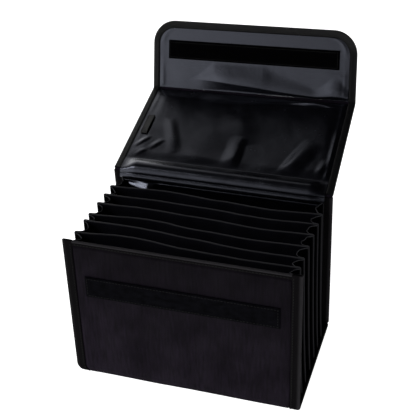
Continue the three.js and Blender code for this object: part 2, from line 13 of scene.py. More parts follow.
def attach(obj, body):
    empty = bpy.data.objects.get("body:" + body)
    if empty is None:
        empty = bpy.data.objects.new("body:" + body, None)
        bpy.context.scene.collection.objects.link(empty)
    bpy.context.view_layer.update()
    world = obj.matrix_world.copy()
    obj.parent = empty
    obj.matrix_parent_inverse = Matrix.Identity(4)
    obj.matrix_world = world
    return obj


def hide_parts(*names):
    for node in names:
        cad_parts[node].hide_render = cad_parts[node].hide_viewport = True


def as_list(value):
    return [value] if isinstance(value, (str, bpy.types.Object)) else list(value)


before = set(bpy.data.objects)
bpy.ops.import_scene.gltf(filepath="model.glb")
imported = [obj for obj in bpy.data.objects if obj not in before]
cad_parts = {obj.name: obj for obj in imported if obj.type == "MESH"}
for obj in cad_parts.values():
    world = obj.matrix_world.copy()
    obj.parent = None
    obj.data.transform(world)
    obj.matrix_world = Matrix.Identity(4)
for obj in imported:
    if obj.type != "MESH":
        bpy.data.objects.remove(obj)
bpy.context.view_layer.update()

MM = 0.001
SIGN = {"left": -1, "right": 1}

# Body of the bag
WIDTH = 250
HEIGHT = 171
DEPTH = 153
FOLD_RADIUS = 2.5
HINGE_Y = 67
HINGE_Z = 177.2

# Cloth, boards and tape
PANEL = 3
MARGIN = 1
WEB = 0.6
TAPE = 0.75
GAP = 0.25
SEAT = 0.3
GUSSET = 1
DIVIDER = 1.2
LINING = 0.8
SIDE_TAPE_WIDTH = 10.5
FLAP_TAPE_WIDTH = 8
HEM_WIDTH = 5
TAPE_PROUD = 0.2
TAPE_NOSE = 1.3

# Lid and flap
LID_LENGTH = 142
LID_LEFT_ANGLE = 15.4
LID_RIGHT_ANGLE = 18.6
FLAP_LENGTH = 83.5
FLAP_ANGLE = 80
FLAP_CORNER = 27.5
HINGE_WIDTH = 250
CREASE_WIDTH = 247.6
CREASE_SHIFT = -1.3
TOP_WIDTH = 243.7
TOP_SHIFT = -2.7
HINGE_CLEARANCE = 1.2
CREASE_CLEARANCE = 2.2

# Radius of the shell's rounded edge at each corner of the base, and how blunt its end is at the fold
Corner = namedtuple("Corner", "name left right")
CORNERS = [
    Corner("front", 8, 2.5),
    Corner("back", 3, 3),
]
CORNER_BLUNT = 0.6
CORNER_REACH = 9

# Dividers from back to front: top ends, foot, and bellies of the left and the right half
Divider = namedtuple("Divider", "left right foot back front")
DIVIDERS = [
    Divider(40, 40, 47, 4, 4),
    Divider(21.5, 20.3, 28, 2, 2.8),
    Divider(2.7, -0.6, 9, 2.4, 3.2),
    Divider(-20.4, -22.9, -12, 5, 2.2),
    Divider(-33.4, -44.4, -33, 3, 2.6),
    Divider(-56.8, -60.7, -51, 6, 1.6),
]
DIVIDER_DROP = 0.8
DIVIDER_HEM = 6
BELLY_CROSSING = 0.53

# Gusset sections from foot to top
GussetSection = namedtuple("GussetSection", "height ridge valley")
GUSSET_SECTIONS = [
    GussetSection(0, 3.4, 9.5),
    GussetSection(0.07, 3.7, 11),
    GussetSection(0.18, 4.4, 13.5),
    GussetSection(0.4, 5.2, 15),
    GussetSection(0.7, 5.8, 15.4),
    GussetSection(1, 6, 15.5),
]
GUSSET_END_INSET = 9.8
GUSSET_DROP = 1.2
RIDGE_HALF = 1.7
PleatPoint = namedtuple("PleatPoint", "along deep")
RIDGE_POINTS = [PleatPoint(0.14, 0.5), PleatPoint(0.42, 0.78), PleatPoint(0.74, 0.95)]
PANEL_POINTS = [PleatPoint(0.3, 0.3), PleatPoint(0.6, 0.66), PleatPoint(0.85, 0.93)]

# Folds in the lid's lining, each between two points across (from the middle) and along the cloth.
# The flank on the right of a fold is steeper by its lean.
Fold = namedtuple("Fold", "x0 s0 x1 s1 rise spread lean")
LID_FOLDS = [
    Fold(6, 70, 6, 2, 2.4, 15, 0.5),
    Fold(88, 76, 58, 2, 2.4, 11, -0.4),
    Fold(109, 50, 101, 10, 1.4, 7, 0.1),
    Fold(-85, 88, -62, 32, 1.6, 11, 0.15),
    Fold(-98, 56, -113, 36, 0.9, 5.5, 0.4),
    Fold(-96, 35, -111, 18, 0.9, 5, 0.4),
    Fold(-81, 53, -95, 34, 0.8, 6, 0.3),
    Fold(-8, 112, 12, 56, 1.3, 28, 0.2),
]
FOLD_END_TAPER = 0.9

# A fold in the back's lining that opens out from a point near its left end: how far it reaches, and
# how fast it stands off, spreads and climbs along the way
SLUMP_X = -113
SLUMP_Z = 163.5
SLUMP_REACH = 30
SLUMP_FADE = 12
SLUMP_RISE = 0.3
SLUMP_SPREAD = 0.45
SLUMP_CLIMB = 0.266
SLUMP_FOOT = 128
SLUMP_HELD = 152

# The lining's slack at the crease, from left to right: a tuck that stands on the lid, and over it
# a bulge of the flap's lining, with the height of its lower lip and how far it draws in below that
Slack = namedtuple("Slack", "x tuck bulge lip under")
CREASE_SLACK = [
    Slack(-116, 0.2, 0, 12, 8.4),
    Slack(-72, 0.2, 0, 15, 11.2),
    Slack(-50, 0.3, 2.4, 15, 11.2),
    Slack(-36, 0.3, 4.0, 14.4, 10),
    Slack(-20, 0.3, 4.2, 13, 8.4),
    Slack(5, 0.3, 3.7, 11, 6.8),
    Slack(30, 0.4, 2.6, 8.2, 4.4),
    Slack(52, 1.6, 2, 6.4, 3),
    Slack(70, 3.2, 1.4, 5.2, 1.9),
    Slack(80, 4.6, 0.9, 4.6, 1.4),
    Slack(90, 3.4, 2.2, 6.8, 3.5),
    Slack(102, 1, 2.8, 7.6, 4.3),
    Slack(112, 0.3, 1.8, 6.5, 3.2),
    Slack(116, 0.2, 0.2, 6, 2.6),
]
SLACK_BLUR = (-7, -3.5, 0, 3.5, 7)
TUCK_WIDTH = 9
TUCK_LEAN = 0.6
BULGE_FADE = 9
BULGE_TOP = 40
BULGE_SHARPNESS = 1.1
LINING_CREASE_GAP = 2.8
LINING_BASE = 0.6
BACK_LINING_TOP = 168
BACK_LINING_STAND_OFF = 2.5
BACK_LINING_INSET = 14

# The lid's lining rolls over the hinge in two loose bands. Points of their section up to the lid, in
# the middle of the bag and where the ends are held.
RollPoint = namedtuple("RollPoint", "y z end_y end_z")
ROLL_POINTS = [
    RollPoint(65.4, 168.6, 65.4, 168.6),
    RollPoint(62.2, 169.2, 63.4, 169.4),
    RollPoint(63, 173.4, 63.8, 173),
    RollPoint(66, 175.2, 65, 175),
    RollPoint(63.2, 175.8, 64.6, 176.4),
    RollPoint(64, 179.4, 65.2, 177.8),
    RollPoint(65.8, 183, 66.6, 178.8),
    RollPoint(70.5, 185.2, 70, 179.6),
    RollPoint(77, 184.6, 76, 181.4),
]
ROLL_END = 18
ROLL_HELD = 18

# Closure strips and tag
LOOP_LENGTH = 207
LOOP_WIDTH = 25
LOOP_THICK = 1.2
LOOP_MIDDLE = 117.3
HOOK_LENGTH = 207.5
HOOK_WIDTH = 22
HOOK_THICK = 1.4
HOOK_MIDDLE = 49.5
TAG_FROM = 59
TAG_TO = 89
TAG_INSET = 12
TAG_WIDTH = 8
TAG_LAYER = 0.35
TAG_LIFT = 1.5
TAG_FOLD = 0.6

# Stitches
STITCH_PITCH = 3.4
STITCH_LENGTH = 2.5
STITCH_RADIUS = 0.27
STITCH_SIDES = 6
STITCH_FROM_EDGE = 1.6
STRIP_STITCH_IN = 2.2

# Camera, fitted to the picture's frame of 420 by 420
LENS = 85.13
SENSOR = 36
CAMERA_AZIMUTH = 18.23
CAMERA_ELEVATION = 31.46
CAMERA_ROLL = -1.81
CAMERA_PLACE = (0.28316, -0.83177, 0.71775)

# Worked-out sizes
HALF_PANEL = PANEL / 2
FRONT_Y = -DEPTH / 2 + HALF_PANEL
BACK_Y = DEPTH / 2 - HALF_PANEL
FOLD_Z = HALF_PANEL + FOLD_RADIUS
FOLD_RUN = FOLD_RADIUS * math.pi / 2
FRONT_END = HEIGHT - FOLD_Z
BOTTOM_START = FRONT_END + FOLD_RUN
BOTTOM_END = BOTTOM_START + BACK_Y - FRONT_Y - 2 * FOLD_RADIUS
BACK_START = BOTTOM_END + FOLD_RUN
BACK_RUN = math.hypot(HINGE_Z - FOLD_Z, BACK_Y - HINGE_Y)
SHELL_END = BACK_START + BACK_RUN - HALF_PANEL - SEAT
CORNER_MIDDLES = {"front": FRONT_END + FOLD_RUN / 2, "back": BOTTOM_END + FOLD_RUN / 2}
GUSSET_FOOT = PANEL + SEAT
EDGE_IN = TAPE + GAP
TAPE_HIGH = HALF_PANEL + TAPE_PROUD
FLAP_BOARD_INNER = LINING_BASE - SEAT


def vec(x, y, z):
    return np.stack(np.broadcast_arrays(x, y, z), -1).astype(float)


def unit(v):
    return v / np.linalg.norm(v, axis=-1, keepdims=True)


def column(x):
    return np.asarray(x, float)[..., None]


def mix(a, b, t):
    return a + (b - a) * t


def smooth(low, high, x):
    t = np.clip((x - low) / (high - low), 0, 1)
    return t * t * (3 - 2 * t)


def lengths(path):
    """Distance along a path at each of its points."""
    return np.concatenate([[0], np.cumsum(np.linalg.norm(np.diff(path, axis=0), axis=1))])


def left_of(path):
    """Directions to the left of a path in a plane, at each of its points."""
    run = np.gradient(path, axis=0)
    return unit(np.stack([-run[..., 1], run[..., 0]], -1))


def ripple(u, v, size, seed):
    """Soft noise over a cloth's own coordinates, from about -1 to 1."""
    def at(a, b):
        return noise.noise(Vector((a / size, b / size, seed)))
    return np.vectorize(at)(u, v)


# Materials: node graphs over each cloth's own coordinates in millimetres
NOISE_LOW = 0.3
NOISE_HIGH = 0.7
MIX_FIRST = 6
MIX_SECOND = 7
MIX_RESULT = 2


class Graph:
    def __init__(self, tree):
        self.tree = tree

    def node(self, kind, inputs, **settings):
        made = self.tree.nodes.new(kind)
        for key, value in settings.items():
            setattr(made, key, value)
        for key, value in inputs.items():
            self.put(made.inputs[key], value)
        return made

    def put(self, socket, value):
        if isinstance(value, bpy.types.NodeSocket):
            self.tree.links.new(value, socket)
        else:
            socket.default_value = value

    def math(self, operation, a, b=0.0):
        return self.node("ShaderNodeMath", {0: a, 1: b}, operation=operation).outputs[0]

    def dot(self, a, b):
        return self.node("ShaderNodeVectorMath", {0: a, 1: b}, operation="DOT_PRODUCT").outputs["Value"]

    def uv(self):
        return self.node("ShaderNodeUVMap", {}, uv_map="cloth").outputs[0]

    def cloth(self):
        """Places across and along the cloth."""
        return self.node("ShaderNodeSeparateXYZ", {0: self.uv()}).outputs[:2]

    def noise(self, across, along, detail):
        placed = self.node("ShaderNodeMapping", {"Vector": self.uv(), "Scale": (across, along, 1)})
        inputs = {"Vector": placed.outputs[0], "Scale": 1.0, "Detail": detail}
        return self.node("ShaderNodeTexNoise", inputs).outputs["Fac"]

    def wave(self, along, pitch):
        return self.math("SINE", self.math("MULTIPLY", along, 2 * math.pi / pitch))

    def weave(self, across, along):
        """Threads that cross, at their pitches across and along the cloth."""
        u, v = self.cloth()
        return self.math("MULTIPLY", self.wave(u, across), self.wave(v, along))

    def range(self, value, start, end, low, high):
        """A value that runs from low to high as another runs from start to end."""
        return self.node("ShaderNodeMapRange", {0: value, 1: start, 2: end, 3: low, 4: high}).outputs[0]

    def spread(self, field, low, high):
        """Noise stretched to run from low to high."""
        return self.range(field, NOISE_LOW, NOISE_HIGH, low, high)

    def bump(self, height, depth, strength, normal=None):
        inputs = {"Height": height, "Distance": depth, "Strength": strength}
        if normal is not None:
            inputs["Normal"] = normal
        return self.node("ShaderNodeBump", inputs).outputs[0]

    def colour(self, value, dark, light):
        inputs = {"Factor": value, MIX_FIRST: dark, MIX_SECOND: light}
        return self.node("ShaderNodeMix", inputs, data_type="RGBA").outputs[MIX_RESULT]

    def lightened(self, colour, light):
        """Lightens a colour along the cloth's edges and ridges, as wear and as painted highlight."""
        wear_and_highlight = self.node("ShaderNodeAttribute", {}, attribute_name="wear_and_highlight").outputs["Fac"]
        return self.colour(wear_and_highlight, colour, light)


class Surface(Graph):
    def __init__(self, name):
        self.material = bpy.data.materials.new(name)
        self.material.use_nodes = True
        super().__init__(self.material.node_tree)
        self.shader = self.tree.nodes["Principled BSDF"]

    def finish(self, colour, roughness, normal, **constants):
        self.put(self.shader.inputs["Base Color"], colour)
        self.put(self.shader.inputs["Roughness"], roughness)
        self.put(self.shader.inputs["Normal"], normal)
        for key, value in constants.items():
            self.shader.inputs[key.replace("_", " ")].default_value = value
        return self.material


def grey(level, red=1.0, blue=1.0):
    return (level * red, level, level * blue, 1)


# The shell's cloth is darker towards the top of each panel and paler near its left edge: painted shade and
# painted light
SHELL_TOP_PAINTED_SHADE = 0.4
SHELL_FOOT_TONE = 1.25
SHELL_FOOT = 160.0
SHELL_LEFT_PAINTED_LIGHT = 1.4
SHELL_LEFT_FROM = 12.0
SHELL_LEFT_TO = 75.0
PATCH_LOW = 0.55
PATCH_HIGH = 1.1


def shell_material():
    g = Surface("shell_cloth")
    u, v = g.cloth()
    streaks = g.spread(g.noise(across=0.42, along=0.045, detail=5.0), low=0.3, high=1.0)
    patches = g.spread(g.noise(across=0.032, along=0.026, detail=3.0), PATCH_LOW, PATCH_HIGH)
    # Painted shade towards the top and painted light near the left edge
    painted_shade_to_top = g.range(v, 0.0, SHELL_FOOT, SHELL_TOP_PAINTED_SHADE, SHELL_FOOT_TONE)
    painted_light_to_left = g.range(u, SHELL_LEFT_FROM, SHELL_LEFT_TO, SHELL_LEFT_PAINTED_LIGHT, 1.0)
    cover = g.math("MULTIPLY", streaks, patches)
    tone_and_painted_light = g.math("MULTIPLY", g.math("MULTIPLY", cover, painted_shade_to_top), painted_light_to_left)
    threads = g.bump(g.weave(across=1.1, along=1.1), depth=0.00012, strength=0.6)
    normal = g.bump(streaks, depth=0.0005, strength=0.4, normal=threads)
    cloth = g.colour(tone_and_painted_light, dark=grey(0.0006, 1.6, 2.1), light=grey(0.0062, 1.5, 2.0))
    rough = g.range(patches, PATCH_LOW, PATCH_HIGH, low=0.75, high=0.56)
    return g.finish(cloth, rough, normal, Specular_IOR_Level=0.042)


def lining_material():
    g = Surface("lining_cloth")
    soft = g.noise(across=0.06, along=0.06, detail=4.0)
    fine = g.noise(across=0.3, along=0.22, detail=5.0)
    threads = g.bump(g.weave(across=0.7, along=0.7), depth=0.00003, strength=0.4)
    normal = g.bump(fine, depth=0.0003, strength=0.3, normal=threads)
    cloth = g.colour(soft, dark=grey(0.0011, 1, 1.7), light=grey(0.0036, 1, 1.5))
    rough = g.spread(soft, low=0.17, high=0.28)
    return g.finish(cloth, rough, normal, Specular_IOR_Level=0.7, Specular_Tint=grey(0.8, 0.95, 1.22))


# Colour of the lighter edges and ridges of pleated cloth: wear and painted highlight
PLEAT_EDGE = grey(0.042, 1, 1.1)


def pleat_material(name, dark, light, gloss):
    g = Surface(name)
    soft = g.noise(across=0.05, along=0.02, detail=4.0)
    threads = g.bump(g.weave(across=0.8, along=0.8), depth=0.00006, strength=0.5)
    normal = g.bump(soft, depth=0.0008, strength=0.3, normal=threads)
    cloth = g.lightened(g.colour(soft, dark, light), PLEAT_EDGE)
    return g.finish(cloth, g.spread(soft, low=0.5, high=0.65), normal, Specular_IOR_Level=gloss)


ROUGH_SPREAD = 0.08


def tape_material(name, dark, light, edge, pitch, rough, gloss):
    g = Surface(name)
    _, v = g.cloth()
    lightened = g.noise(across=0.25, along=0.12, detail=4.0)
    uneven = g.noise(across=1.2, along=1.2, detail=3.0)
    ribs = g.bump(g.wave(v, pitch), depth=0.00022, strength=0.7)
    normal = g.bump(uneven, depth=0.0004, strength=0.4, normal=ribs)
    cloth = g.lightened(g.colour(lightened, dark, light), edge)
    roughness = g.spread(lightened, rough - ROUGH_SPREAD, rough + ROUGH_SPREAD)
    return g.finish(cloth, roughness, normal, Specular_IOR_Level=gloss)


def loop_material():
    g = Surface("loop_tape")
    pile = g.noise(across=1.1, along=1.1, detail=6.0)
    lie = g.spread(g.noise(across=0.12, along=0.2, detail=3.0), low=0.0, high=1.0)
    normal = g.bump(pile, depth=0.0009, strength=0.8)
    cloth = g.colour(lie, dark=grey(0.0007, 1, 1.6), light=grey(0.003, 1, 1.5))
    return g.finish(cloth, roughness=0.95, normal=normal, Specular_IOR_Level=0.03)


def hook_material():
    g = Surface("hook_tape")
    lie = g.spread(g.noise(across=0.2, along=0.2, detail=3.0), low=0.0, high=1.0)
    normal = g.bump(g.weave(across=1.6, along=1.9), depth=0.0008, strength=0.9)
    cloth = g.colour(lie, dark=grey(0.0003, 1, 1.5), light=grey(0.0013, 1, 1.5))
    return g.finish(cloth, g.range(lie, 0.0, 1.0, low=0.7, high=0.9), normal, Specular_IOR_Level=0.015)


SHELL = shell_material()
LINING_CLOTH = lining_material()
# The gusset cloth is kept darker than the divider cloth as painted shade between the pleats
SHADED_GUSSET_CLOTH = pleat_material("gusset_cloth", grey(0.0001, 1, 1.4), grey(0.0005, 1, 1.4), gloss=0.0)
DIVIDER_CLOTH = pleat_material("divider_cloth", grey(0.0022, 1, 1.7), grey(0.0076, 1, 1.6), gloss=0.08)
# Each tape's edge colour lightens its nose and edges, as wear and as painted highlight
BINDING = tape_material("binding_tape", dark=grey(0.001, 1.15, 1.2), light=grey(0.0042, 1.15, 1.2),
                        edge=grey(0.032, 1.05, 1.1), pitch=1.3, rough=0.8, gloss=0.032)
FLAP_BINDING = tape_material("flap_tape", dark=grey(0.0006, 1, 1.4), light=grey(0.0024, 1, 1.4),
                             edge=grey(0.015, 1.05, 1.1), pitch=1.3, rough=0.42, gloss=0.15)
TAG_RIBBON = tape_material("tag_ribbon", dark=grey(0.0015), light=grey(0.005),
                           edge=grey(0.05), pitch=0.6, rough=0.45, gloss=0.12)
THREAD = tape_material("thread", dark=grey(0.014), light=grey(0.03),
                       edge=grey(0.03), pitch=0.5, rough=0.8, gloss=0.04)
LOOPS = loop_material()
HOOKS = hook_material()


# Mesh building
SHARP_DEGREES = 50


def mesh_object(name, points, faces, uv, material, wear_and_highlight=None):
    mesh = bpy.data.meshes.new(name)
    mesh.from_pydata((points * MM).tolist(), [], faces)
    corners = np.zeros(len(mesh.loops), np.int32)
    mesh.loops.foreach_get("vertex_index", corners)
    layer = mesh.uv_layers.new(name="cloth")
    layer.data.foreach_set("uv", uv[corners].astype(np.float32).ravel())
    if wear_and_highlight is not None:
        # Lightening along edges and ridges, as wear and as painted highlight
        rubbed_and_lit = mesh.attributes.new("wear_and_highlight", "FLOAT", "POINT")
        rubbed_and_lit.data.foreach_set("value", wear_and_highlight.astype(np.float32).ravel())
    mesh.shade_smooth()
    mesh.set_sharp_from_angle(angle=math.radians(SHARP_DEGREES))
    mesh.materials.append(material)
    obj = bpy.data.objects.new(name, mesh)
    bpy.context.scene.collection.objects.link(obj)
    return obj


def faced_out(points, faces):
    """The faces turned so that the closed shape's normals point outwards."""
    volume = 0.0
    for face in faces:
        first = points[face[0]]
        for b, c in zip(face[1:-1], face[2:]):
            volume += float(np.dot(first, np.cross(points[b], points[c])))
    return faces if volume > 0 else [face[::-1] for face in faces]


def grid_quads(at):
    quads = np.stack([at[:-1, :-1], at[:-1, 1:], at[1:, 1:], at[1:, :-1]], -1)
    return quads.reshape(-1, 4)


def row_uv(across, along):
    return np.stack(np.broadcast_arrays(across, along), -1)


class Layers:
    """Rows of points on the two sides of a closed sheet, with the cloth's coordinates and its wear and
    painted highlight.
    """

    def __init__(self):
        self.over = []
        self.under = []
        self.uv = []
        self.wear_and_highlight = []

    def add(self, over, under, across, along, wear_and_highlight=None):
        self.over.append(over)
        self.under.append(under)
        self.uv.append(row_uv(across, along))
        if wear_and_highlight is not None:
            self.wear_and_highlight.append(np.broadcast_to(wear_and_highlight, across.shape))

    def close(self, name, material):
        rows, columns = np.shape(self.over)[:2]
        count = rows * columns
        at = np.arange(count).reshape(rows, columns)
        rim = np.concatenate([at[0], at[1:, -1], at[-1, -2::-1], at[-2:0:-1, 0]])
        after = np.roll(rim, -1)
        sides = np.stack([after, rim, rim + count, after + count], -1)
        faces = np.concatenate([grid_quads(at), grid_quads(at + count)[:, ::-1], sides]).tolist()
        points = np.concatenate([np.reshape(side, (-1, 3)) for side in (self.over, self.under)])
        uv = np.tile(np.reshape(self.uv, (-1, 2)), (2, 1))
        wear_and_highlight = np.tile(np.ravel(self.wear_and_highlight), 2) if self.wear_and_highlight else None
        return mesh_object(name, points, faced_out(points, faces), uv, material, wear_and_highlight)


def tube_faces(at):
    """Faces of a tube through rings of point numbers, with a flat face at each end."""
    closed = np.concatenate([at, at[:, :1]], axis=1)
    return [*grid_quads(closed).tolist(), at[0].tolist(), at[-1][::-1].tolist()]


# Lines across the strip of cloth, with the direction of its inner side at each end
Line = namedtuple("Line", "left right inner_left inner_right")


def place(line, fraction, rise):
    """Points at fractions of the way along a line, lifted to the inner side."""
    f = column(fraction)
    inner = unit(mix(line.inner_left, line.inner_right, f))
    return mix(line.left, line.right, f) + inner * column(rise)


def line_width(line):
    return float(np.linalg.norm(line.right - line.left))


def shell_point(s):
    """Middle of the shell's thickness, running down the front, along the bottom and up the back."""
    if s <= FRONT_END:
        return FRONT_Y, HEIGHT - s, vec(0, 1, 0)
    if s <= BOTTOM_START:
        turn = (s - FRONT_END) / FOLD_RADIUS
        inner = vec(0, math.cos(turn), math.sin(turn))
        return FRONT_Y + FOLD_RADIUS * (1 - inner[1]), FOLD_Z - FOLD_RADIUS * inner[2], inner
    if s <= BOTTOM_END:
        return FRONT_Y + FOLD_RADIUS + s - BOTTOM_START, HALF_PANEL, vec(0, 0, 1)
    if s <= BACK_START:
        turn = (s - BOTTOM_END) / FOLD_RADIUS
        inner = vec(0, -math.sin(turn), math.cos(turn))
        return BACK_Y - FOLD_RADIUS * (1 + inner[1]), FOLD_Z - FOLD_RADIUS * inner[2], inner
    t = (s - BACK_START) / BACK_RUN
    inner = unit(vec(0, FOLD_Z - HINGE_Z, HINGE_Y - BACK_Y))
    return mix(BACK_Y, HINGE_Y, t), mix(FOLD_Z, HINGE_Z, t), inner


def draw_in(s, side):
    """How far the shell's edge is drawn in by the rounded corners of the base."""
    total = 0.0
    for corner in CORNERS:
        radius = getattr(corner, side)
        past = radius - math.hypot(s - CORNER_MIDDLES[corner.name], CORNER_BLUNT)
        if past > 0:
            total += radius - math.sqrt(radius * radius - past * past)
    return total


def shell_line(s):
    y, z, inner = shell_point(s)
    left = vec(-WIDTH / 2 + draw_in(s, "left"), y, z)
    right = vec(WIDTH / 2 - draw_in(s, "right"), y, z)
    return Line(left, right, inner, inner)


def lid_end(side, angle):
    turn = math.radians(angle)
    x = CREASE_SHIFT + side * CREASE_WIDTH / 2
    return vec(x, HINGE_Y + LID_LENGTH * math.cos(turn), HINGE_Z + LID_LENGTH * math.sin(turn))


def flap_top(crease, side):
    top = crease + FLAP_RISE * FLAP_LENGTH
    return vec(TOP_SHIFT + side * TOP_WIDTH / 2, top[1], top[2])


def lid_inner(angle):
    turn = math.radians(angle)
    return vec(0, -math.sin(turn), math.cos(turn))


FLAP_RISE = vec(0, math.cos(math.radians(FLAP_ANGLE)), math.sin(math.radians(FLAP_ANGLE)))
HINGE_LEFT = vec(-HINGE_WIDTH / 2, HINGE_Y, HINGE_Z)
HINGE_RIGHT = vec(HINGE_WIDTH / 2, HINGE_Y, HINGE_Z)
CREASE_LEFT = lid_end(-1, LID_LEFT_ANGLE)
CREASE_RIGHT = lid_end(1, LID_RIGHT_ANGLE)
TOP_LEFT = flap_top(CREASE_LEFT, -1)
TOP_RIGHT = flap_top(CREASE_RIGHT, 1)
FLAP_ACROSS = unit(CREASE_RIGHT - CREASE_LEFT)
FLAP_INNER = unit(np.cross(FLAP_ACROSS, FLAP_RISE))


def lid_line(s):
    t = s / LID_LENGTH
    left = mix(HINGE_LEFT, CREASE_LEFT, t)
    right = mix(HINGE_RIGHT, CREASE_RIGHT, t)
    return Line(left, right, lid_inner(LID_LEFT_ANGLE), lid_inner(LID_RIGHT_ANGLE))


def flap_line(v):
    t = v / FLAP_LENGTH
    return Line(mix(CREASE_LEFT, TOP_LEFT, t), mix(CREASE_RIGHT, TOP_RIGHT, t), FLAP_INNER, FLAP_INNER)


def on_lid(x, s, rise):
    """Points on the lid for places across and along it, lifted off its inner side."""
    line = lid_line(column(s))
    return place(line, 0.5 + x / np.linalg.norm(line.right - line.left, axis=-1), rise)


def on_flap(x, v, rise):
    """Points on the flap for places across and up it, lifted off its inner side."""
    return place(flap_line(column(v)), 0.5 + x / CREASE_WIDTH, rise)


BEND_STEPS = 8
BEND_END = 0.97


def bezier(a, b, c, t):
    return (1 - t) ** 2 * a + 2 * t * (1 - t) * b + t * t * c


def bend_lines(start, corner, end):
    """Lines across the cloth where it bends from one line to another round a corner line."""
    lines = []
    for t in np.linspace(0, BEND_END, BEND_STEPS + 1)[1:]:
        left = bezier(start.left, corner.left, end.left, t)
        right = bezier(start.right, corner.right, end.right, t)
        inner_left = unit(mix(start.inner_left, end.inner_left, t))
        inner_right = unit(mix(start.inner_right, end.inner_right, t))
        lines.append(Line(left, right, inner_left, inner_right))
    return lines


def hinge_bend():
    return bend_lines(shell_line(SHELL_END), lid_line(0), lid_line(HINGE_CLEARANCE))


def crease_bend():
    return bend_lines(lid_line(LID_LENGTH - CREASE_CLEARANCE), flap_line(0), flap_line(CREASE_CLEARANCE))


FOLD_STOPS = 17
CORNER_STOPS = 29


def stops(start, end, step):
    """Places along the shell, close together round the folds of the base."""
    even = np.linspace(start, end, max(2, round((end - start) / step)))
    folds = []
    for middle in CORNER_MIDDLES.values():
        folds.extend(np.linspace(middle - FOLD_RUN, middle + FOLD_RUN, FOLD_STOPS))
        folds.extend(np.linspace(middle - CORNER_REACH, middle + CORNER_REACH, CORNER_STOPS))
    inside = [s for s in folds if start + SEAT < s < end - SEAT]
    return np.unique(np.round(np.concatenate([even, inside]), 2))


# Panels: cloth over boards, thin at the margins where the tape wraps them
PANEL_COLUMNS = 110
FLAP_COLUMNS = 100
BOARD_ROWS = 60
BOARD_EDGE = 1.2
TAPE_LAP = 1
SWELL_SIZE = 45
FLAP_SWELL_SIZE = 40
STREAK_SIZE = 11
STREAK_STRETCH = 0.3
STREAK_SHARE = 0.35
ROW_CROWDING = 0.75
Row = namedtuple("Row", "line s inner outer")


def panel(name, rows, tape_width, wave, seed):
    board = tape_width + GAP
    edge = [EDGE_IN, board - TAPE_LAP, board, board + BOARD_EDGE / 3, board + BOARD_EDGE * 2 / 3]
    layers = Layers()
    for row in rows:
        width = line_width(row.line)
        middle = np.linspace(board + BOARD_EDGE, width - board - BOARD_EDGE, PANEL_COLUMNS)
        across = np.concatenate([edge, middle, width - np.array(edge[::-1])])
        full = smooth(board - SEAT, board + BOARD_EDGE, np.minimum(across, width - across))
        swell = ripple(across, row.s, SWELL_SIZE, seed)
        swell += STREAK_SHARE * ripple(across, row.s * STREAK_STRETCH, STREAK_SIZE, seed)
        over = place(row.line, across / width, mix(MARGIN / 2, row.inner, full))
        under = place(row.line, across / width, -mix(MARGIN / 2, row.outer + wave * swell, full))
        layers.add(over, under, across, row.s)
    return layers.close(name, SHELL)


def board_rows(places):
    return [Row(shell_line(s), s, HALF_PANEL, HALF_PANEL) for s in places]


def web_rows(lines, start):
    return [Row(line, start + i * SEAT, WEB / 2, WEB / 2) for i, line in enumerate(lines)]


def front_panel():
    hem_end = HEM_WIDTH + GAP
    hem = [Row(shell_line(s), s, WEB / 2, WEB / 2) for s in (EDGE_IN, hem_end)]
    rows = hem + board_rows(stops(hem_end + BOARD_EDGE, BOTTOM_START, step=2.4))
    return panel("front_panel_cloth", rows, SIDE_TAPE_WIDTH, wave=0.3, seed=1.5)


def bottom_panel():
    rows = board_rows(stops(BOTTOM_START + SEAT, BOTTOM_END - SEAT, step=4))
    return panel("bottom_panel_cloth", rows, SIDE_TAPE_WIDTH, wave=0.05, seed=2.5)


def back_panel():
    rows = board_rows(stops(BOTTOM_END, SHELL_END - BOARD_EDGE, step=3))
    rows += web_rows([shell_line(SHELL_END), *hinge_bend()], SHELL_END)
    return panel("back_panel_cloth", rows, SIDE_TAPE_WIDTH, wave=0.3, seed=3.5)


def lid_panel():
    end = LID_LENGTH - CREASE_CLEARANCE
    places = np.linspace(HINGE_CLEARANCE, end - BOARD_EDGE, BOARD_ROWS)
    rows = [Row(lid_line(s), s, FLAP_BOARD_INNER, HALF_PANEL) for s in places]
    rows += web_rows([lid_line(end), *crease_bend()], end)
    return panel("lid_panel_cloth", rows, FLAP_TAPE_WIDTH, wave=0.25, seed=4.5)


def flap_rows(inset, low, count):
    """Places up the flap with the half width there, crowded towards the rounded top corners."""
    radius = FLAP_CORNER - inset
    top = FLAP_LENGTH - inset
    for t in np.linspace(0, 1, count):
        v = mix(low, top, mix(t, math.sin(math.pi / 2 * t), ROW_CROWDING))
        past = max(0.0, v - top + radius)
        cut = radius - math.sqrt(max(0.0, radius * radius - past * past))
        yield v, CREASE_WIDTH / 2 - inset - cut


def flap_panel(wave=0.25, seed=5.5):
    layers = Layers()
    for v, half in flap_rows(EDGE_IN, CREASE_CLEARANCE, BOARD_ROWS):
        x = np.linspace(-half, half, FLAP_COLUMNS)
        near = np.minimum(half - np.abs(x), FLAP_LENGTH - EDGE_IN - v)
        full = smooth(FLAP_TAPE_WIDTH - EDGE_IN - TAPE_LAP, FLAP_TAPE_WIDTH + TAPE_LAP, near)
        outer = HALF_PANEL + wave * ripple(x, v, FLAP_SWELL_SIZE, seed)
        over = on_flap(x, v, mix(MARGIN / 2, FLAP_BOARD_INNER, full))
        under = on_flap(x, v, -mix(MARGIN / 2, outer, full))
        layers.add(over, under, x + CREASE_WIDTH / 2, v)
    return layers.close("flap_panel_cloth", SHELL)


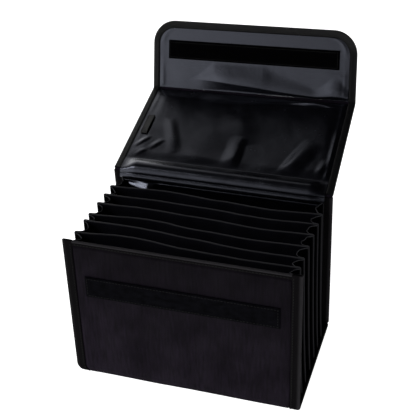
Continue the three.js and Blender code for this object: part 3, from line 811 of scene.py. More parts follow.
# Tape folded over an edge: a channel that opens inwards. Each point of its face lies at a share of the
# width, less an inset, and lifted off the flat.
EdgeStop = namedtuple("EdgeStop", "edge inward inner")
TapePoint = namedtuple("TapePoint", "share inset lift")
TAPE_FACE = [
    TapePoint(1, 0, -0.25),
    TapePoint(1, 0.35, 0),
    TapePoint(0.72, 0, -0.06),
    TapePoint(0.4, 0, 0.06),
]
NOSE_POINTS = 9
FILLET_IN = 0.5
FILLET_UP = 0.4
TAPE_STEP = 2.5
HEM_STOPS = 110
LID_EDGE_STOPS = 56
CORNER_STEPS = 18

# Loose edge and lift of the tape: how far, and over what length
TAPE_LOOSE = 0.35
LOOSE_SIZE = 14
TAPE_LIFT = 0.12
LIFT_SIZE = 9
LIFT_SEED = 5

# Wear and painted highlight on the tape's nose and free edge, and how much of it each tape gets
NOSE_WEAR_AND_HIGHLIGHT = 0.7
EDGE_WEAR = 0.06
# The right side's tape is lighter than the left as painted light
SIDE_WEAR_AND_LIGHT = {"left": 0.45, "right": 1.0}
HEM_WEAR_AND_HIGHLIGHT = 1.4
FLAP_WEAR_AND_HIGHLIGHT = 0.35
TAPE_SEEDS = {"left": 1, "right": 2, "hem": 3, "flap": 4}


def tape_section(width):
    """Points round the folded tape: how far in from the edge, and how far to the inner side."""
    low = HALF_PANEL - TAPE
    face = [(point.share * width - point.inset, TAPE_HIGH + point.lift) for point in TAPE_FACE]
    nose = []
    for turn in np.linspace(math.pi / 2, -math.pi / 2, NOSE_POINTS):
        nose.append((TAPE_NOSE * (1 - math.cos(turn)), TAPE_HIGH * math.sin(turn)))
    back = [(a, -b) for a, b in face[::-1]]
    hollow = [(TAPE, low - FILLET_UP), (TAPE + FILLET_IN, low), (width, low)]
    inside = [(a, -b) for a, b in hollow[::-1]] + hollow
    face_wear = [EDGE_WEAR, EDGE_WEAR, 0, 0]
    rubbed_and_lit = face_wear + [NOSE_WEAR_AND_HIGHLIGHT] * NOSE_POINTS + face_wear[::-1] + [0] * len(inside)
    return np.array(face + nose + back + inside), np.array(rubbed_and_lit)


def tape(name, edge_stops, width, seed, rubbed_and_lit, material=BINDING):
    section, wear_and_highlight = tape_section(width)
    inward, out = section.T
    around = lengths(section)
    free_edge = smooth(width / 2, width, inward)
    outside = np.sign(out) * smooth(HALF_PANEL - SEAT, HALF_PANEL, np.abs(out))
    rings = []
    uv = []
    for stop, along in zip(edge_stops, lengths(np.array([stop.edge for stop in edge_stops]))):
        loose = inward + free_edge * TAPE_LOOSE * noise.noise(Vector((along / LOOSE_SIZE, seed, 0)))
        lifted = out + outside * TAPE_LIFT * noise.noise(Vector((along / LIFT_SIZE, seed, LIFT_SEED)))
        rings.append(stop.edge + loose[:, None] * stop.inward + lifted[:, None] * stop.inner)
        uv.append(row_uv(around, along))
    points = np.concatenate(rings)
    faces = tube_faces(np.arange(len(points)).reshape(len(rings), -1))
    # Lighter nose and edges of the tape: wear and painted highlight
    lightened = np.tile(wear_and_highlight * rubbed_and_lit, len(rings))
    return mesh_object(name, points, faced_out(points, faces), np.concatenate(uv), material, lightened)


def side_binding(side):
    inward = vec(-SIGN[side], 0, 0)
    edge_stops = []
    for s in stops(0, SHELL_END, TAPE_STEP):
        line = shell_line(s)
        edge_stops.append(EdgeStop(getattr(line, side), inward, line.inner_left))
    name = f"{side}_side_binding_tape"
    return tape(name, edge_stops, SIDE_TAPE_WIDTH, TAPE_SEEDS[side], SIDE_WEAR_AND_LIGHT[side])


def front_hem():
    end = WIDTH / 2 - SIDE_TAPE_WIDTH - SEAT
    places = np.linspace(-end, end, HEM_STOPS)
    edge_stops = [EdgeStop(vec(x, FRONT_Y, HEIGHT), vec(0, 0, -1), vec(0, 1, 0)) for x in places]
    return tape("front_hem_tape", edge_stops, HEM_WIDTH, TAPE_SEEDS["hem"], HEM_WEAR_AND_HIGHLIGHT)


def lid_edge(side):
    places = np.linspace(HINGE_CLEARANCE, LID_LENGTH - CREASE_CLEARANCE, LID_EDGE_STOPS)
    edge_stops = []
    for line in [lid_line(s) for s in places] + crease_bend():
        inward = unit(line.right - line.left) * -SIGN[side]
        edge_stops.append(EdgeStop(getattr(line, side), inward, getattr(line, f"inner_{side}")))
    return edge_stops


def flap_outline(inset, foot, straight=24, top=80):
    """Edge of the flap from its left foot round to its right foot: x, v and the direction inwards."""
    corner_x = CREASE_WIDTH / 2 - FLAP_CORNER
    corner_v = FLAP_LENGTH - FLAP_CORNER
    radius = FLAP_CORNER - inset
    left = [(inset - CREASE_WIDTH / 2, v, 1.0, 0.0) for v in np.linspace(foot, corner_v, straight)[:-1]]
    for turn in np.linspace(0, math.pi / 2, CORNER_STEPS + 1):
        in_x = math.cos(turn)
        in_v = -math.sin(turn)
        left.append((-corner_x - in_x * radius, corner_v - in_v * radius, in_x, in_v))
    across = np.linspace(-corner_x, corner_x, top)[1:-1]
    right = [(-x, v, -in_x, in_v) for x, v, in_x, in_v in left[::-1]]
    return left + [(x, FLAP_LENGTH - inset, 0.0, -1.0) for x in across] + right


def flap_binding():
    edge_stops = lid_edge("left")
    for x, v, in_x, in_v in flap_outline(0, CREASE_CLEARANCE):
        inward = unit(FLAP_ACROSS * in_x + FLAP_RISE * in_v)
        edge_stops.append(EdgeStop(on_flap(x, v, 0), inward, FLAP_INNER))
    edge_stops += lid_edge("right")[::-1]
    name = "flap_binding_tape"
    return tape(name, edge_stops, FLAP_TAPE_WIDTH, TAPE_SEEDS["flap"], FLAP_WEAR_AND_HIGHLIGHT, FLAP_BINDING)


# Gussets, with small noise in their pleats and more of it at their rims
GUSSET_ROWS = 44
ROUNDINGS = 2
CORNER_CUT = 0.25
VALLEY_SAG = 1.6
SAG_POWER = 6
PLEAT_SOFT = 1.1
PLEAT_STRETCH = 60
RIM_SOFT = 2.2
RIM_STRETCH = 200
RIM_POWER = 12
RIM = 1.0
RIM_STEPS = np.array([1, 0.6, 0.25, 0.06, 0])
# Lighter rim at the top edge: wear and painted highlight
RIM_WORN_AND_LIT = 0.3
ROUND_END = -0.25
GUSSET_ROUND = 0.6
RIM_DEEP = (0.2, 0.6)
# Fins lighter along their ridges: painted highlight, with some wear
FIN_WEAR_AND_HIGHLIGHT = 0.5
FIN_FULL = 0.02
FIN_FADED = 0.12


def gusset_section(height):
    table = np.array(GUSSET_SECTIONS)
    return np.interp(height, table[:, 0], table[:, 1]), np.interp(height, table[:, 0], table[:, 2])


def ridge_y(divider, side, height):
    return mix(divider.foot, getattr(divider, side), height)


def gusset_line(side, height):
    """Middle line of a gusset at one height: inset, y and how deep in the pleat."""
    ridge, valley = gusset_section(height)
    z = mix(GUSSET_FOOT, HEIGHT - GUSSET_DROP, height)
    back_inner = shell_point(max(BACK_START, BACK_START + z - FOLD_Z))[0] - HALF_PANEL
    ends = [(GUSSET_END_INSET, FRONT_Y + HALF_PANEL + SEAT, 0, PANEL_POINTS)]
    for divider in DIVIDERS[::-1]:
        ends.append((ridge, ridge_y(divider, side, height), RIDGE_HALF, RIDGE_POINTS))
    ends.append((GUSSET_END_INSET, back_inner - SEAT, 0, PANEL_POINTS))
    line = []
    for (inset0, y0, half0, points0), (inset1, y1, half1, points1) in zip(ends, ends[1:]):
        start = y0 + half0
        end = y1 - half1
        middle = (start + end) / 2
        line.append((inset0, start, 0))
        line += [(mix(inset0, valley, p.deep), mix(start, middle, p.along), p.deep) for p in points0]
        line.append((valley, middle, 1))
        line += [(mix(inset1, valley, p.deep), mix(end, middle, p.along), p.deep) for p in points1[::-1]]
        line.append((inset1, end, 0))
    return np.array(line)


def rounded(line, times):
    """Cuts the corners of an open line, which keeps its ends."""
    for _ in range(times):
        near = mix(line[:-1], line[1:], CORNER_CUT)
        far = mix(line[:-1], line[1:], 1 - CORNER_CUT)
        between = np.stack([near, far], 1).reshape(-1, line.shape[1])
        line = np.concatenate([line[:1], between[1:-1], line[-1:]])
    return line


def floor_z(y):
    radius = FOLD_RADIUS - HALF_PANEL - SEAT
    past = np.maximum(0, np.maximum(FRONT_Y + FOLD_RADIUS - y, y - BACK_Y + FOLD_RADIUS))
    return FOLD_Z - np.sqrt(np.maximum(0, radius * radius - past * past))


def rim_heights(rows, top):
    """Heights from 0 to 1 with a few close together at the rim."""
    return np.concatenate([np.linspace(0, 1 - 2 * RIM / top, rows), 1 - RIM / top * RIM_STEPS])


def gusset(side):
    sign = SIGN[side]
    layers = Layers()
    for height in rim_heights(GUSSET_ROWS, HEIGHT):
        inset, y, deep = rounded(gusset_line(side, height), ROUNDINGS).T
        pleats = ripple(y, height * PLEAT_STRETCH, size=16, seed=7.5 + sign) * deep * height
        rims = ripple(y, height * RIM_STRETCH, size=5, seed=17.5 + sign) * height ** RIM_POWER
        line = np.stack([inset + PLEAT_SOFT * pleats + RIM_SOFT * rims * smooth(*RIM_DEEP, deep), y], -1)
        normal = -left_of(line)
        normal[[0, -1]] = [1, 0]
        top = HEIGHT - GUSSET_DROP - VALLEY_SAG * deep * height ** SAG_POWER
        z = mix(floor_z(y), top, height)
        from_top = (1 - height) * HEIGHT
        thick = GUSSET / 2 * math.sqrt(smooth(ROUND_END, GUSSET_ROUND, from_top))
        sides = []
        for offset in (thick, -thick):
            moved = line + normal * offset
            sides.append(vec(sign * (WIDTH / 2 - moved[:, 0]), moved[:, 1], z))
        # The lighter top rim is wear and painted highlight; the lighter fin ridges are painted highlight
        rim = 1 - smooth(RIM_WORN_AND_LIT * RIM, RIM, from_top)
        fins = FIN_WEAR_AND_HIGHLIGHT * (1 - smooth(FIN_FULL, FIN_FADED, deep))
        layers.add(*sides, lengths(line), z, np.maximum(rim, fins))
    return layers.close(f"{side}_gusset_cloth", SHADED_GUSSET_CLOTH)


# Dividers, each with a thicker hem along its top edge
DIVIDER_COLUMNS = 96
DIVIDER_ROWS = 38
HEM_ROWS = np.array([0.97, 0.94, 0.5, 0.25, 0.16, 0.08, 0.03, 0])
HEM_FULL = 0.95
HEM_THICKER = 1.4
DIVIDER_ROUND = 0.8
# Lighter top edge: wear and painted highlight
DIVIDER_WEAR_AND_HIGHLIGHT = 0.68
LIGHTER_TOP_FULL = 0.5
LIGHTER_TOP_FADED = 1.5
SHEET_SOFT = 0.9
SHEET_SOFT_FROM = 0.2
TOP_SOFT = 0.5
TOP_SOFT_FROM = 0.5


def belly(divider, fraction):
    back = divider.back * np.sin(math.pi * fraction / BELLY_CROSSING) ** 2
    front = -divider.front * np.sin(math.pi * (fraction - BELLY_CROSSING) / (1 - BELLY_CROSSING)) ** 2
    return np.where(fraction < BELLY_CROSSING, back, front)


def divider_sheet(index, divider):
    fraction = np.linspace(0, 1, DIVIDER_COLUMNS)
    ends_held = np.sin(math.pi * fraction) ** 0.5
    hem = DIVIDER_HEM / HEIGHT
    layers = Layers()
    for height in np.concatenate([np.linspace(0, 1 - hem, DIVIDER_ROWS), 1 - HEM_ROWS * hem]):
        z = mix(GUSSET_FOOT, HEIGHT - DIVIDER_DROP, height)
        half = WIDTH / 2 - gusset_section(height)[0] - GUSSET / 2 - SEAT
        x = mix(-half, half, fraction)
        ends = mix(ridge_y(divider, "left", height), ridge_y(divider, "right", height), fraction)
        soft = SHEET_SOFT * ripple(x, z, size=38, seed=20.5 + index) * smooth(0, SHEET_SOFT_FROM, height)
        soft += TOP_SOFT * ripple(x, z / 2, size=13, seed=30.5 + index) * smooth(TOP_SOFT_FROM, 1, height)
        y = ends + belly(divider, fraction) * height + soft * ends_held
        from_top = HEIGHT - DIVIDER_DROP - z
        thick = DIVIDER / 2 * (HEM_THICKER if from_top < DIVIDER_HEM * HEM_FULL else 1)
        thick *= math.sqrt(smooth(ROUND_END, DIVIDER_ROUND, from_top))
        # The top edge is lighter: wear and painted highlight
        wear_and_highlight = DIVIDER_WEAR_AND_HIGHLIGHT * (1 - smooth(LIGHTER_TOP_FULL, LIGHTER_TOP_FADED, from_top))
        layers.add(vec(x, y - thick, z), vec(x, y + thick, z), x, z, wear_and_highlight)
    return layers.close(f"divider_{index}_cloth", DIVIDER_CLOTH)


# Linings
LINING_COLUMNS = 180
LID_ROWS = 110
TUCK_ROWS = 30
FLAP_LOW_END = 18
FLAP_LOW_STEP = 0.5
FLAP_ROWS = 70
ROLL_ROUNDINGS = 3
ROLL_SOFT = 0.7
ROLL_STRETCH = 0.8
ROLL_STEP = 0.6

# Where wrinkles, folds and the puff beside the tape grow to their full height
LID_SLACK = 1.1
LID_HELD = 16
LID_WRINKLES_FROM = 32
LID_WRINKLES_TO = (2, 14)
LID_FOLDS_FROM = 36
LID_PUFF_FROM = 26
LID_PUFF_LEFT = 0.35
LID_PUFF_RIGHT = 1.5
FLAP_SLACK = 0.6
FLAP_SOFT = 0.4
FLAP_HELD = 10
FLAP_WRINKLES_FROM = 16
FLAP_WRINKLES_TO = (30, 38)
FLAP_PUFF = 0.5
FLAP_PUFF_FROM = 8
Wrinkle = namedtuple("Wrinkle", "size rise slant stretch seed")
WRINKLES = [
    Wrinkle(75, 1.5, 0, 1, 0),
    Wrinkle(30, 0.5, 0, 0.8, 2),
    Wrinkle(13, 0.2, 0.4, 0.8, 3),
]
PUFF_MEAN = 0.7
PUFF_FROM_EDGE = 4
PUFF_SPREAD = 2.4
BULGE_LEAST = 0.1


def fold_rise(folds, x, s):
    """How far folds lift the cloth."""
    total = np.zeros(np.broadcast(x, s).shape)
    for fold in folds:
        run_x = fold.x1 - fold.x0
        run_s = fold.s1 - fold.s0
        t = ((x - fold.x0) * run_x + (s - fold.s0) * run_s) / math.hypot(run_x, run_s) ** 2
        t = np.clip(t, 0, 1)
        off_x = x - fold.x0 - t * run_x
        off_s = s - fold.s0 - t * run_s
        away = np.hypot(off_x, off_s) / fold.spread
        away *= np.where(off_x > 0, 1 + fold.lean, 1)
        crest = smooth(0, 1, 1 - away)
        total += fold.rise * np.sin(math.pi * t) ** FOLD_END_TAPER * crest
    return total


def wrinkles(x, s, seed):
    return sum(w.rise * ripple(x + s * w.slant, s * w.stretch, w.size, seed + w.seed) for w in WRINKLES)


def puff(near, along, seed):
    """The lining stands up a little beside the tape that holds its edge."""
    swell = PUFF_MEAN + ripple(along, 0, size=22, seed=seed)
    return np.maximum(0, swell) * np.exp(-((near - PUFF_FROM_EDGE) / PUFF_SPREAD) ** 2)


def slack(x, column):
    table = np.array(CREASE_SLACK)
    values = table[:, Slack._fields.index(column)]
    return np.mean([np.interp(x + shift, table[:, 0], values) for shift in SLACK_BLUR], axis=0)


def roll_section(side, angle, columns):
    """Points of the roll's section at one side of the lid, ending on the lid itself."""
    last = getattr(lid_line(ROLL_END), side) + lid_inner(angle) * LINING_BASE
    points = [[getattr(point, column) for column in columns] for point in ROLL_POINTS]
    return rounded(np.array([*points, last[1:]]), ROLL_ROUNDINGS)


def hinge_roll(x):
    """Rows of both sides of the lining where it rolls over the hinge, for places across the lid."""
    line = lid_line(ROLL_END)
    fraction = (0.5 + x / line_width(line))[None, :, None]
    held = smooth(0, ROLL_HELD, x[-1] - np.abs(x))[None, :, None]
    across = []
    for columns in (("end_y", "end_z"), ("y", "z")):
        left = roll_section("left", LID_LEFT_ANGLE, columns)[:-1, None]
        right = roll_section("right", LID_RIGHT_ANGLE, columns)[:-1, None]
        across.append(mix(left, right, fraction))
    section = mix(across[0], across[1], held)
    count = len(section)
    inner = left_of(section)
    rows = np.arange(count)[:, None]
    loose = ROLL_SOFT * ripple(x[None], rows * ROLL_STRETCH, size=40, seed=8.5)
    loose = loose * np.sin(math.pi * rows / count)
    under = section + inner * np.maximum(0, loose * held[..., 0])[..., None]
    over = under + inner * LINING
    middle = (line.left[0] + line.right[0]) / 2 + x
    for i in range(count):
        sides = [vec(middle, side[i, :, 0], side[i, :, 1]) for side in (over, under)]
        yield *sides, (i - count) * ROLL_STEP


def lid_lining_half(s):
    return line_width(lid_line(s)) / 2 - FLAP_TAPE_WIDTH - SEAT


def lid_lining():
    share = np.linspace(-1, 1, LINING_COLUMNS)
    end = LID_LENGTH - LINING_CREASE_GAP
    tuck_start = end - TUCK_WIDTH
    layers = Layers()
    x = share * lid_lining_half(ROLL_END)
    for over, under, along in hinge_roll(x):
        layers.add(over, under, x, along)
    rows = np.linspace(ROLL_END, tuck_start, LID_ROWS)
    tuck_rows = np.linspace(tuck_start, end, TUCK_ROWS)[1:]
    for s in np.concatenate([rows, tuck_rows]):
        half = lid_lining_half(s)
        x = share * half
        near = half - np.abs(x)
        held = smooth(0, LID_HELD, near) * smooth(ROLL_END, LID_WRINKLES_FROM, s)
        held *= smooth(*LID_WRINKLES_TO, end - s)
        rise = LINING_BASE + np.maximum(0, LID_SLACK + wrinkles(x, s, seed=9.5)) * held
        rise += fold_rise(LID_FOLDS, x, s) * smooth(ROLL_END, LID_FOLDS_FROM, s)
        puffed = puff(near, np.where(x > 0, s, s + LID_LENGTH), seed=40.5)
        puffed *= np.where(x > 0, LID_PUFF_RIGHT, LID_PUFF_LEFT)
        rise += puffed * smooth(ROLL_END, LID_PUFF_FROM, s)
        tuck = np.sin(math.pi * np.clip((s - tuck_start) / TUCK_WIDTH, 0, 1)) * slack(x, "tuck")
        leant = s - TUCK_LEAN * tuck
        layers.add(on_lid(x, leant, rise + tuck + LINING), on_lid(x, leant, rise + tuck), x, s)
    return layers.close("lid_lining_cloth", LINING_CLOTH)


def flap_lining():
    inset = FLAP_TAPE_WIDTH + 2 * SEAT
    low = np.arange(LINING_CREASE_GAP, FLAP_LOW_END, FLAP_LOW_STEP)
    rows = [(v, CREASE_WIDTH / 2 - inset) for v in low]
    layers = Layers()
    for v, half in [*rows, *flap_rows(inset, FLAP_LOW_END, FLAP_ROWS)]:
        x = np.linspace(-half, half, LINING_COLUMNS)
        beside = half - np.abs(x)
        held = smooth(0, FLAP_HELD, np.minimum(beside, FLAP_LENGTH - inset - v))
        held *= smooth(LINING_CREASE_GAP, FLAP_WRINKLES_FROM, v) * (1 - smooth(*FLAP_WRINKLES_TO, v))
        lip = slack(x, "lip")
        up = np.clip((v - lip) / slack(x, "under") + 1, 0, 1)
        size = slack(x, "bulge")
        above = np.minimum(BULGE_FADE * size + BULGE_LEAST, BULGE_TOP - lip)
        bulge = size * up ** BULGE_SHARPNESS * (1 - smooth(0, 1, (v - lip) / above))
        soft = FLAP_SOFT * np.maximum(0, FLAP_SLACK + wrinkles(x, v, seed=11.5)) * held
        puffed = FLAP_PUFF * puff(beside, v, seed=44.5) * smooth(LINING_CREASE_GAP, FLAP_PUFF_FROM, v)
        rise = LINING_BASE + bulge + soft + puffed
        layers.add(on_flap(x, v, rise + LINING), on_flap(x, v, rise), x, v)
    return layers.close("flap_lining_cloth", LINING_CLOTH)


# Rows of the back's lining down from its top edge, which has a thicker hem
BACK_COLUMNS = 130
BACK_LOW_ROWS = 45
BACK_LOW_END = 26
BACK_SLUMP_ROWS = 34
BACK_SLUMP_FROM = 25
BACK_SLUMP_TO = 4
BACK_HEM_ROWS = np.array([3.4, 3, 2, 1, 0.4, 0.1])
BACK_HEM = 3.2
BACK_HEM_THICKER = 1.9
BACK_ROUND_END = -0.2
BACK_ROUND = 0.8
BACK_SLACK = 0.4
BACK_SOFT = 3.6
SLUMP_LEAST = 0.01


def back_lining():
    foot = BACK_START + SEAT
    top = BACK_START + BACK_LINING_TOP - FOLD_Z
    low = np.linspace(foot, top - BACK_LOW_END, BACK_LOW_ROWS)
    slumped = np.linspace(top - BACK_SLUMP_FROM, top - BACK_SLUMP_TO, BACK_SLUMP_ROWS)
    layers = Layers()
    for s in np.concatenate([low, slumped, top - BACK_HEM_ROWS]):
        line = shell_line(s)
        width = line_width(line)
        across = np.linspace(BACK_LINING_INSET, width - BACK_LINING_INSET, BACK_COLUMNS)
        t = (s - foot) / (top - foot)
        held = np.sin(math.pi * (across - BACK_LINING_INSET) / (width - 2 * BACK_LINING_INSET)) ** 0.5
        loose = np.maximum(0, BACK_SLACK + ripple(across, s, size=30, seed=13.5)) * held
        rise = HALF_PANEL + SEAT + BACK_LINING_STAND_OFF * t * t + BACK_SOFT * loose * t * (1 - t)
        height = s - BACK_START + FOLD_Z
        from_point = across - width / 2 - SLUMP_X
        reach = np.clip(from_point, SLUMP_LEAST, SLUMP_REACH)
        down = (SLUMP_Z + SLUMP_CLIMB * reach - height) / (SLUMP_SPREAD * reach)
        slump = SLUMP_RISE * reach * smooth(0, 1, down) * smooth(SLUMP_FOOT, SLUMP_HELD, height)
        rise += slump * (1 - smooth(0, SLUMP_FADE, from_point - SLUMP_REACH))
        thick = LINING * (BACK_HEM_THICKER if top - s < BACK_HEM else 1)
        thick *= math.sqrt(smooth(BACK_ROUND_END, BACK_ROUND, top - s))
        sides = [place(line, across / width, rise + side) for side in (thick, 0)]
        layers.add(*sides, across, s)
    return layers.close("back_lining_cloth", LINING_CLOTH)


# Closure strips and tag
STRIP_COLUMNS = 120
STRIP_ROWS = 18
STRIP_EDGE = 0.9
STRIP_EDGE_STEP = 0.4
STRIP_RIM = 0.55
NAP = 0.12
NAP_SIZE = 3
FRAY = 0.25
FRAY_SIZE = 2.2
FRAY_SEED = 4


def edge_places(length, count):
    """Places along a strip, with a few close together at its ends."""
    middle = np.linspace(STRIP_EDGE, length - STRIP_EDGE, count)
    return np.concatenate([[0, STRIP_EDGE_STEP], middle, [length - STRIP_EDGE_STEP, length]])


def on_front(x, v, rise):
    return vec(x, -DEPTH / 2 - rise, LOOP_MIDDLE + v)


def on_hook(x, v, rise):
    return on_flap(x, HOOK_MIDDLE + v, HALF_PANEL + rise)


# Each strip with the function that gives its points for x, height and rise, and the way it faces
Strip = namedtuple("Strip", "name at facing length width thick seed material")
LOOP = Strip("loop_strip_tape", on_front, vec(0, -1, 0), LOOP_LENGTH, LOOP_WIDTH, LOOP_THICK, 31, LOOPS)
HOOK = Strip("hook_strip_tape", on_hook, FLAP_INNER, HOOK_LENGTH, HOOK_WIDTH, HOOK_THICK, 33, HOOKS)


def strip(row):
    """A flat strip with softened edges."""
    x = edge_places(row.length, STRIP_COLUMNS)
    layers = Layers()
    for v in edge_places(row.width, STRIP_ROWS):
        near = np.minimum(np.minimum(x, row.length - x), min(v, row.width - v))
        nap = NAP * ripple(x, v, NAP_SIZE, row.seed)
        fray = FRAY * ripple(x, v, FRAY_SIZE, row.seed + FRAY_SEED) * (near < STRIP_EDGE)
        rise = SEAT + row.thick * mix(STRIP_RIM, 1, smooth(0, STRIP_EDGE, near)) + nap
        sides = [row.at(x - row.length / 2, v - row.width / 2 + fray, side) for side in (rise, SEAT)]
        layers.add(*sides, x, v)
    return layers.close(row.name, row.material)


TAG_ROWS = 24
TAG_POINTS = 8
TAG_FOLD_POINTS = 9
TAG_CURL = 1.5
TAG_LEAST_LIFT = 0.8
TAG_WAVE = 0.3
TAG_WAVE_RUN = 5


def label_tag():
    """A short ribbon folded in half, with its fold towards the middle of the lid."""
    turn = np.linspace(0, math.pi, TAG_FOLD_POINTS)
    flat = np.linspace(0, TAG_WIDTH - TAG_FOLD, TAG_POINTS)
    fold = np.stack([flat[-1] + TAG_FOLD * np.sin(turn), TAG_FOLD * (1 - np.cos(turn))], -1)
    path = np.concatenate([row_uv(flat[:-1], 0), fold, row_uv(flat[-2::-1], 2 * TAG_FOLD)])
    normal = left_of(path)
    low = HALF_PANEL + SEAT + TAG_LAYER
    layers = Layers()
    for s in np.linspace(TAG_FROM, TAG_TO, TAG_ROWS):
        line = lid_line(s)
        lift = TAG_LIFT * (path[:, 0] / TAG_WIDTH) ** TAG_CURL
        lift *= TAG_LEAST_LIFT + TAG_WAVE * math.sin(s / TAG_WAVE_RUN)
        sides = []
        for offset in (-TAG_LAYER / 2, TAG_LAYER / 2):
            across, up = (path + normal * offset).T
            sides.append(place(line, (TAG_INSET + across) / line_width(line), low + lift + up))
        layers.add(*sides, lengths(path), s)
    return layers.close("label_tag_ribbon", TAG_RIBBON)


# Stitches along lines of points. Rings of one stitch: place along it, lift and thickness.
StitchRing = namedtuple("StitchRing", "along lift share")
STITCH_RINGS = [
    StitchRing(-0.5, -0.35, 0.3),
    StitchRing(-0.36, 0.1, 0.9),
    StitchRing(0, 0.25, 1),
    StitchRing(0.36, 0.1, 0.9),
    StitchRing(0.5, -0.35, 0.3),
]
STITCH_LOOK = 0.5


def on_path(distance, along, values):
    return np.array([np.interp(distance, along, column) for column in values.T])


def stitches(name, lines):
    points = []
    uv = []
    faces = []
    ring_points = np.arange(len(STITCH_RINGS) * STITCH_SIDES).reshape(-1, STITCH_SIDES)
    for path, normals in lines:
        along = lengths(path)
        normals = np.broadcast_to(normals, path.shape)
        for middle in np.arange(STITCH_PITCH / 2, along[-1], STITCH_PITCH):
            ends = [on_path(middle + look, along, path) for look in (-STITCH_LOOK, STITCH_LOOK)]
            ahead = unit(ends[1] - ends[0])
            normal = unit(on_path(middle, along, normals))
            side = np.cross(ahead, normal)
            faces += tube_faces(ring_points + len(points))
            for ring in STITCH_RINGS:
                centre = on_path(middle, along, path) + ahead * ring.along * STITCH_LENGTH
                centre += normal * ring.lift * STITCH_RADIUS * 2
                for k in range(STITCH_SIDES):
                    turn = 2 * math.pi * k / STITCH_SIDES
                    out = side * math.cos(turn) + normal * math.sin(turn)
                    points.append(centre + out * STITCH_RADIUS * ring.share)
                    uv.append((k, ring.along * STITCH_LENGTH))
    points = np.array(points)
    return mesh_object(name, points, faced_out(points, faces), np.array(uv, float), THREAD)


def binding_stitch_lines(line_at, places, tape_width, facing):
    """Stitch lines near the inner edge of the tape on both sides of a panel, facing in (1) or out (-1)."""
    lines = []
    for side in ("left", "right"):
        path = []
        normals = []
        for s in places:
            line = line_at(s)
            share = (tape_width - STITCH_FROM_EDGE) / line_width(line)
            fraction = share if side == "left" else 1 - share
            path.append(place(line, fraction, TAPE_HIGH * facing))
            normals.append(line.inner_left * facing)
        lines.append((np.array(path), np.array(normals)))
    return lines


SHELL_STITCH_END = 3
SHELL_STITCH_STEP = 3
LID_STITCH_FROM = 4
LID_STITCH_TO = 5
LID_STITCH_STOPS = 50
FLAP_STITCH_FOOT = 3
HEM_STITCH_UP = 1.4
HEM_STITCH_END = 2
THREAD_LIFT = 0.05


def shell_stitching():
    places = stops(SHELL_STITCH_END, SHELL_END - SHELL_STITCH_END, SHELL_STITCH_STEP)
    return stitches("shell_stitching", binding_stitch_lines(shell_line, places, SIDE_TAPE_WIDTH, -1))


def flap_stitching():
    places = np.linspace(LID_STITCH_FROM, LID_LENGTH - LID_STITCH_TO, LID_STITCH_STOPS)
    inset = FLAP_TAPE_WIDTH - STITCH_FROM_EDGE
    outline = flap_outline(inset, CREASE_CLEARANCE + FLAP_STITCH_FOOT)
    lines = []
    for facing in (1, -1):
        lines += binding_stitch_lines(lid_line, places, FLAP_TAPE_WIDTH, facing)
    for facing in (1, -1):
        path = np.array([on_flap(x, v, TAPE_HIGH * facing) for x, v, _, _ in outline])
        lines.append((path, FLAP_INNER * facing))
    return stitches("flap_stitching", lines)


def strip_stitching():
    lines = []
    for row in (LOOP, HOOK):
        x = row.length / 2 - STRIP_STITCH_IN
        v = row.width / 2 - STRIP_STITCH_IN
        corners = [(-x, -v), (x, -v), (x, v), (-x, v), (-x, -v)]
        path = [row.at(a, b, SEAT + row.thick + THREAD_LIFT) for a, b in corners]
        lines.append((np.array(path), row.facing))
    return stitches("strip_stitching", lines)


def hem_stitching():
    end = WIDTH / 2 - SIDE_TAPE_WIDTH - HEM_STITCH_END
    z = HEIGHT - HEM_WIDTH + HEM_STITCH_UP
    path = np.array([vec(x, -DEPTH / 2 - TAPE_PROUD, z) for x in (-end, end)])
    return stitches("hem_stitching", [(path, vec(0, -1, 0))])


# Assembly: each piece takes the place of its solid
Part = namedtuple("Part", "piece node slot flat held rests_on")


def assemble():
    lid = "lid_panel_cloth"
    flap = "flap_panel_cloth"
    base = "bottom_panel_cloth"
    front = "front_panel_cloth"
    back = "back_panel_cloth"
    gussets = ["left_gusset_cloth", "right_gusset_cloth"]
    parts = [
        Part(front_panel(), "front_panel", "shell_cloth", (0.248, 0.17), "stretched", [base]),
        Part(bottom_panel(), "bottom_panel", "shell_cloth", (0.248, 0.145), "stretched", ["bottom_panel"]),
        Part(back_panel(), "back_panel", "shell_cloth", (0.248, 0.181), "stretched", [base]),
        Part(lid_panel(), "lid_panel", "shell_cloth", (0.247, 0.141), "stretched", [back]),
        Part(flap_panel(), "flap_panel", "shell_cloth", (0.246, 0.081), "stretched", [lid]),
        Part(back_lining(), "back_lining", "lining_cloth", (0.222, 0.163), "hung", [back]),
        Part(lid_lining(), "lid_lining", "lining_cloth", (0.233, 0.151), "laid", [lid]),
        Part(flap_lining(), "flap_lining", "lining_cloth", (0.23, 0.074), "stretched", [flap]),
        Part(front_hem(), "front_hem", "binding_tape", (0.0125, 0.228), "folded", [front]),
        Part(flap_binding(), "flap_binding", "binding_tape", (0.0185, 0.69), "folded", [lid, flap]),
        Part(strip(LOOP), "loop_strip", "loop_tape", (0.207, 0.025), "laid", [front]),
        Part(strip(HOOK), "hook_strip", "hook_tape", (0.2075, 0.022), "laid", ["flap_lining_cloth"]),
        Part(label_tag(), "label_tag", "binding_tape", (0.0165, 0.03), "folded", ["lid_lining_cloth"]),
    ]
    for side in ("left", "right"):
        edge = side_binding(side)
        cloth = gusset(side)
        parts.append(Part(edge, f"{side}_side_binding", "binding_tape", (0.0235, 0.49), "folded", [base]))
        parts.append(Part(cloth, f"{side}_gusset", "gusset_cloth", (0.215, 0.167), "folded", [base]))
    for i, divider in enumerate(DIVIDERS, 1):
        cloth = divider_sheet(i, divider)
        parts.append(Part(cloth, f"divider_{i}", "gusset_cloth", (0.24, 0.167), "hung", gussets))
    for part in parts:
        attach(part.piece, "root")
        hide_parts(part.node)
        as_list(part.rests_on)
    for thread in (shell_stitching(), flap_stitching(), strip_stitching(), hem_stitching()):
        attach(thread, "root")


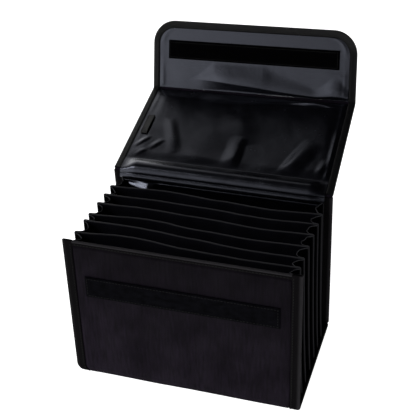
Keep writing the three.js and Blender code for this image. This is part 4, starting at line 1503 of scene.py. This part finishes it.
# A pale floor whose glow falls off towards the front and right
FLOOR_SIZE = 8
FLOOR_Z = -0.0004
FLOOR_DARK = 0.84
FLOOR_LIGHT = 0.88
FLOOR_ROUGH = 0.9
FLOOR_GLOW = 1.1
GLOW_FALL_FROM = 0.8
GLOW_FALL_TO = 1.5
GLOW_FALL = (1, -0.8, 0)


def floor():
    g = Surface("pale_floor")
    position = g.node("ShaderNodeNewGeometry", {}).outputs["Position"]
    grain = g.node("ShaderNodeTexNoise", {"Vector": position, "Scale": 3.0, "Detail": 2.0}).outputs["Fac"]
    g.put(g.shader.inputs["Base Color"], g.colour(grain, grey(FLOOR_DARK), grey(FLOOR_LIGHT)))
    g.shader.inputs["Roughness"].default_value = FLOOR_ROUGH
    g.shader.inputs["Emission Color"].default_value = grey(1.0)
    glow = g.range(g.dot(position, GLOW_FALL), GLOW_FALL_FROM, GLOW_FALL_TO, FLOOR_GLOW, 0.0)
    g.put(g.shader.inputs["Emission Strength"], glow)
    corners = [(-1, -1), (1, -1), (1, 1), (-1, 1)]
    mesh = bpy.data.meshes.new("floor")
    mesh.from_pydata([(x * FLOOR_SIZE, y * FLOOR_SIZE, FLOOR_Z) for x, y in corners], [], [(0, 1, 2, 3)])
    mesh.materials.append(g.material)
    made = bpy.data.objects.new("floor", mesh)
    bpy.context.scene.collection.objects.link(made)


# A soft key light from the upper left, under a sky that is pale low down, dim overhead and
# has a wide soft glow on the left
KEY_FROM = (-0.6, -0.5, 0.62)
KEY_STRENGTH = 0.85
KEY_SPREAD = 18
SKY_LOW = 2.4
SKY_HIGH = 0.05
SKY_TURN = 0.5
SKY_RIGHT = 0.1
RIGHT_FROM = -0.45
RIGHT_TO = -0.05
GLOW_FROM = (-0.68, 0.68, 0.28)
GLOW_STRENGTH = 0.9
GLOW_OUTER = 0.68
GLOW_INNER = 0.95


def lights():
    lamp = bpy.data.lights.new("key", "SUN")
    lamp.energy = KEY_STRENGTH
    lamp.angle = math.radians(KEY_SPREAD)
    made = bpy.data.objects.new("key", lamp)
    made.rotation_euler = (-Vector(KEY_FROM)).to_track_quat("-Z", "Y").to_euler()
    bpy.context.scene.collection.objects.link(made)
    world = bpy.data.worlds.new("studio")
    world.use_nodes = True
    g = Graph(world.node_tree)
    direction = g.node("ShaderNodeTexCoord", {}).outputs["Generated"]
    side, _, height = g.node("ShaderNodeSeparateXYZ", {0: direction}).outputs
    sky = g.range(height, 0.0, SKY_TURN, SKY_LOW, SKY_HIGH)
    sky = g.math("MULTIPLY", sky, g.range(side, RIGHT_FROM, RIGHT_TO, 1.0, SKY_RIGHT))
    towards = g.dot(direction, Vector(GLOW_FROM).normalized())
    glow = g.range(towards, GLOW_OUTER, GLOW_INNER, 0.0, GLOW_STRENGTH)
    background = world.node_tree.nodes["Background"]
    background.inputs["Color"].default_value = grey(1.0)
    g.put(background.inputs["Strength"], g.math("ADD", sky, glow))
    bpy.context.scene.world = world
    bpy.context.scene.view_settings.view_transform = "Standard"


def camera():
    azimuth = math.radians(CAMERA_AZIMUTH)
    elevation = math.radians(CAMERA_ELEVATION)
    roll = math.radians(CAMERA_ROLL)
    level = math.cos(elevation)
    back = Vector((math.sin(azimuth) * level, -math.cos(azimuth) * level, math.sin(elevation)))
    across = Vector((0, 0, 1)).cross(back).normalized()
    up = back.cross(across)
    right = across * math.cos(roll) + up * math.sin(roll)
    top = up * math.cos(roll) - across * math.sin(roll)
    turn = Matrix((right, top, back)).transposed().to_4x4()
    data = bpy.data.cameras.new("camera")
    data.lens = LENS
    data.sensor_width = SENSOR
    made = bpy.data.objects.new("camera", data)
    made.matrix_world = Matrix.Translation(CAMERA_PLACE) @ turn
    bpy.context.scene.collection.objects.link(made)
    bpy.context.scene.camera = made


assemble()
floor()
lights()
camera()
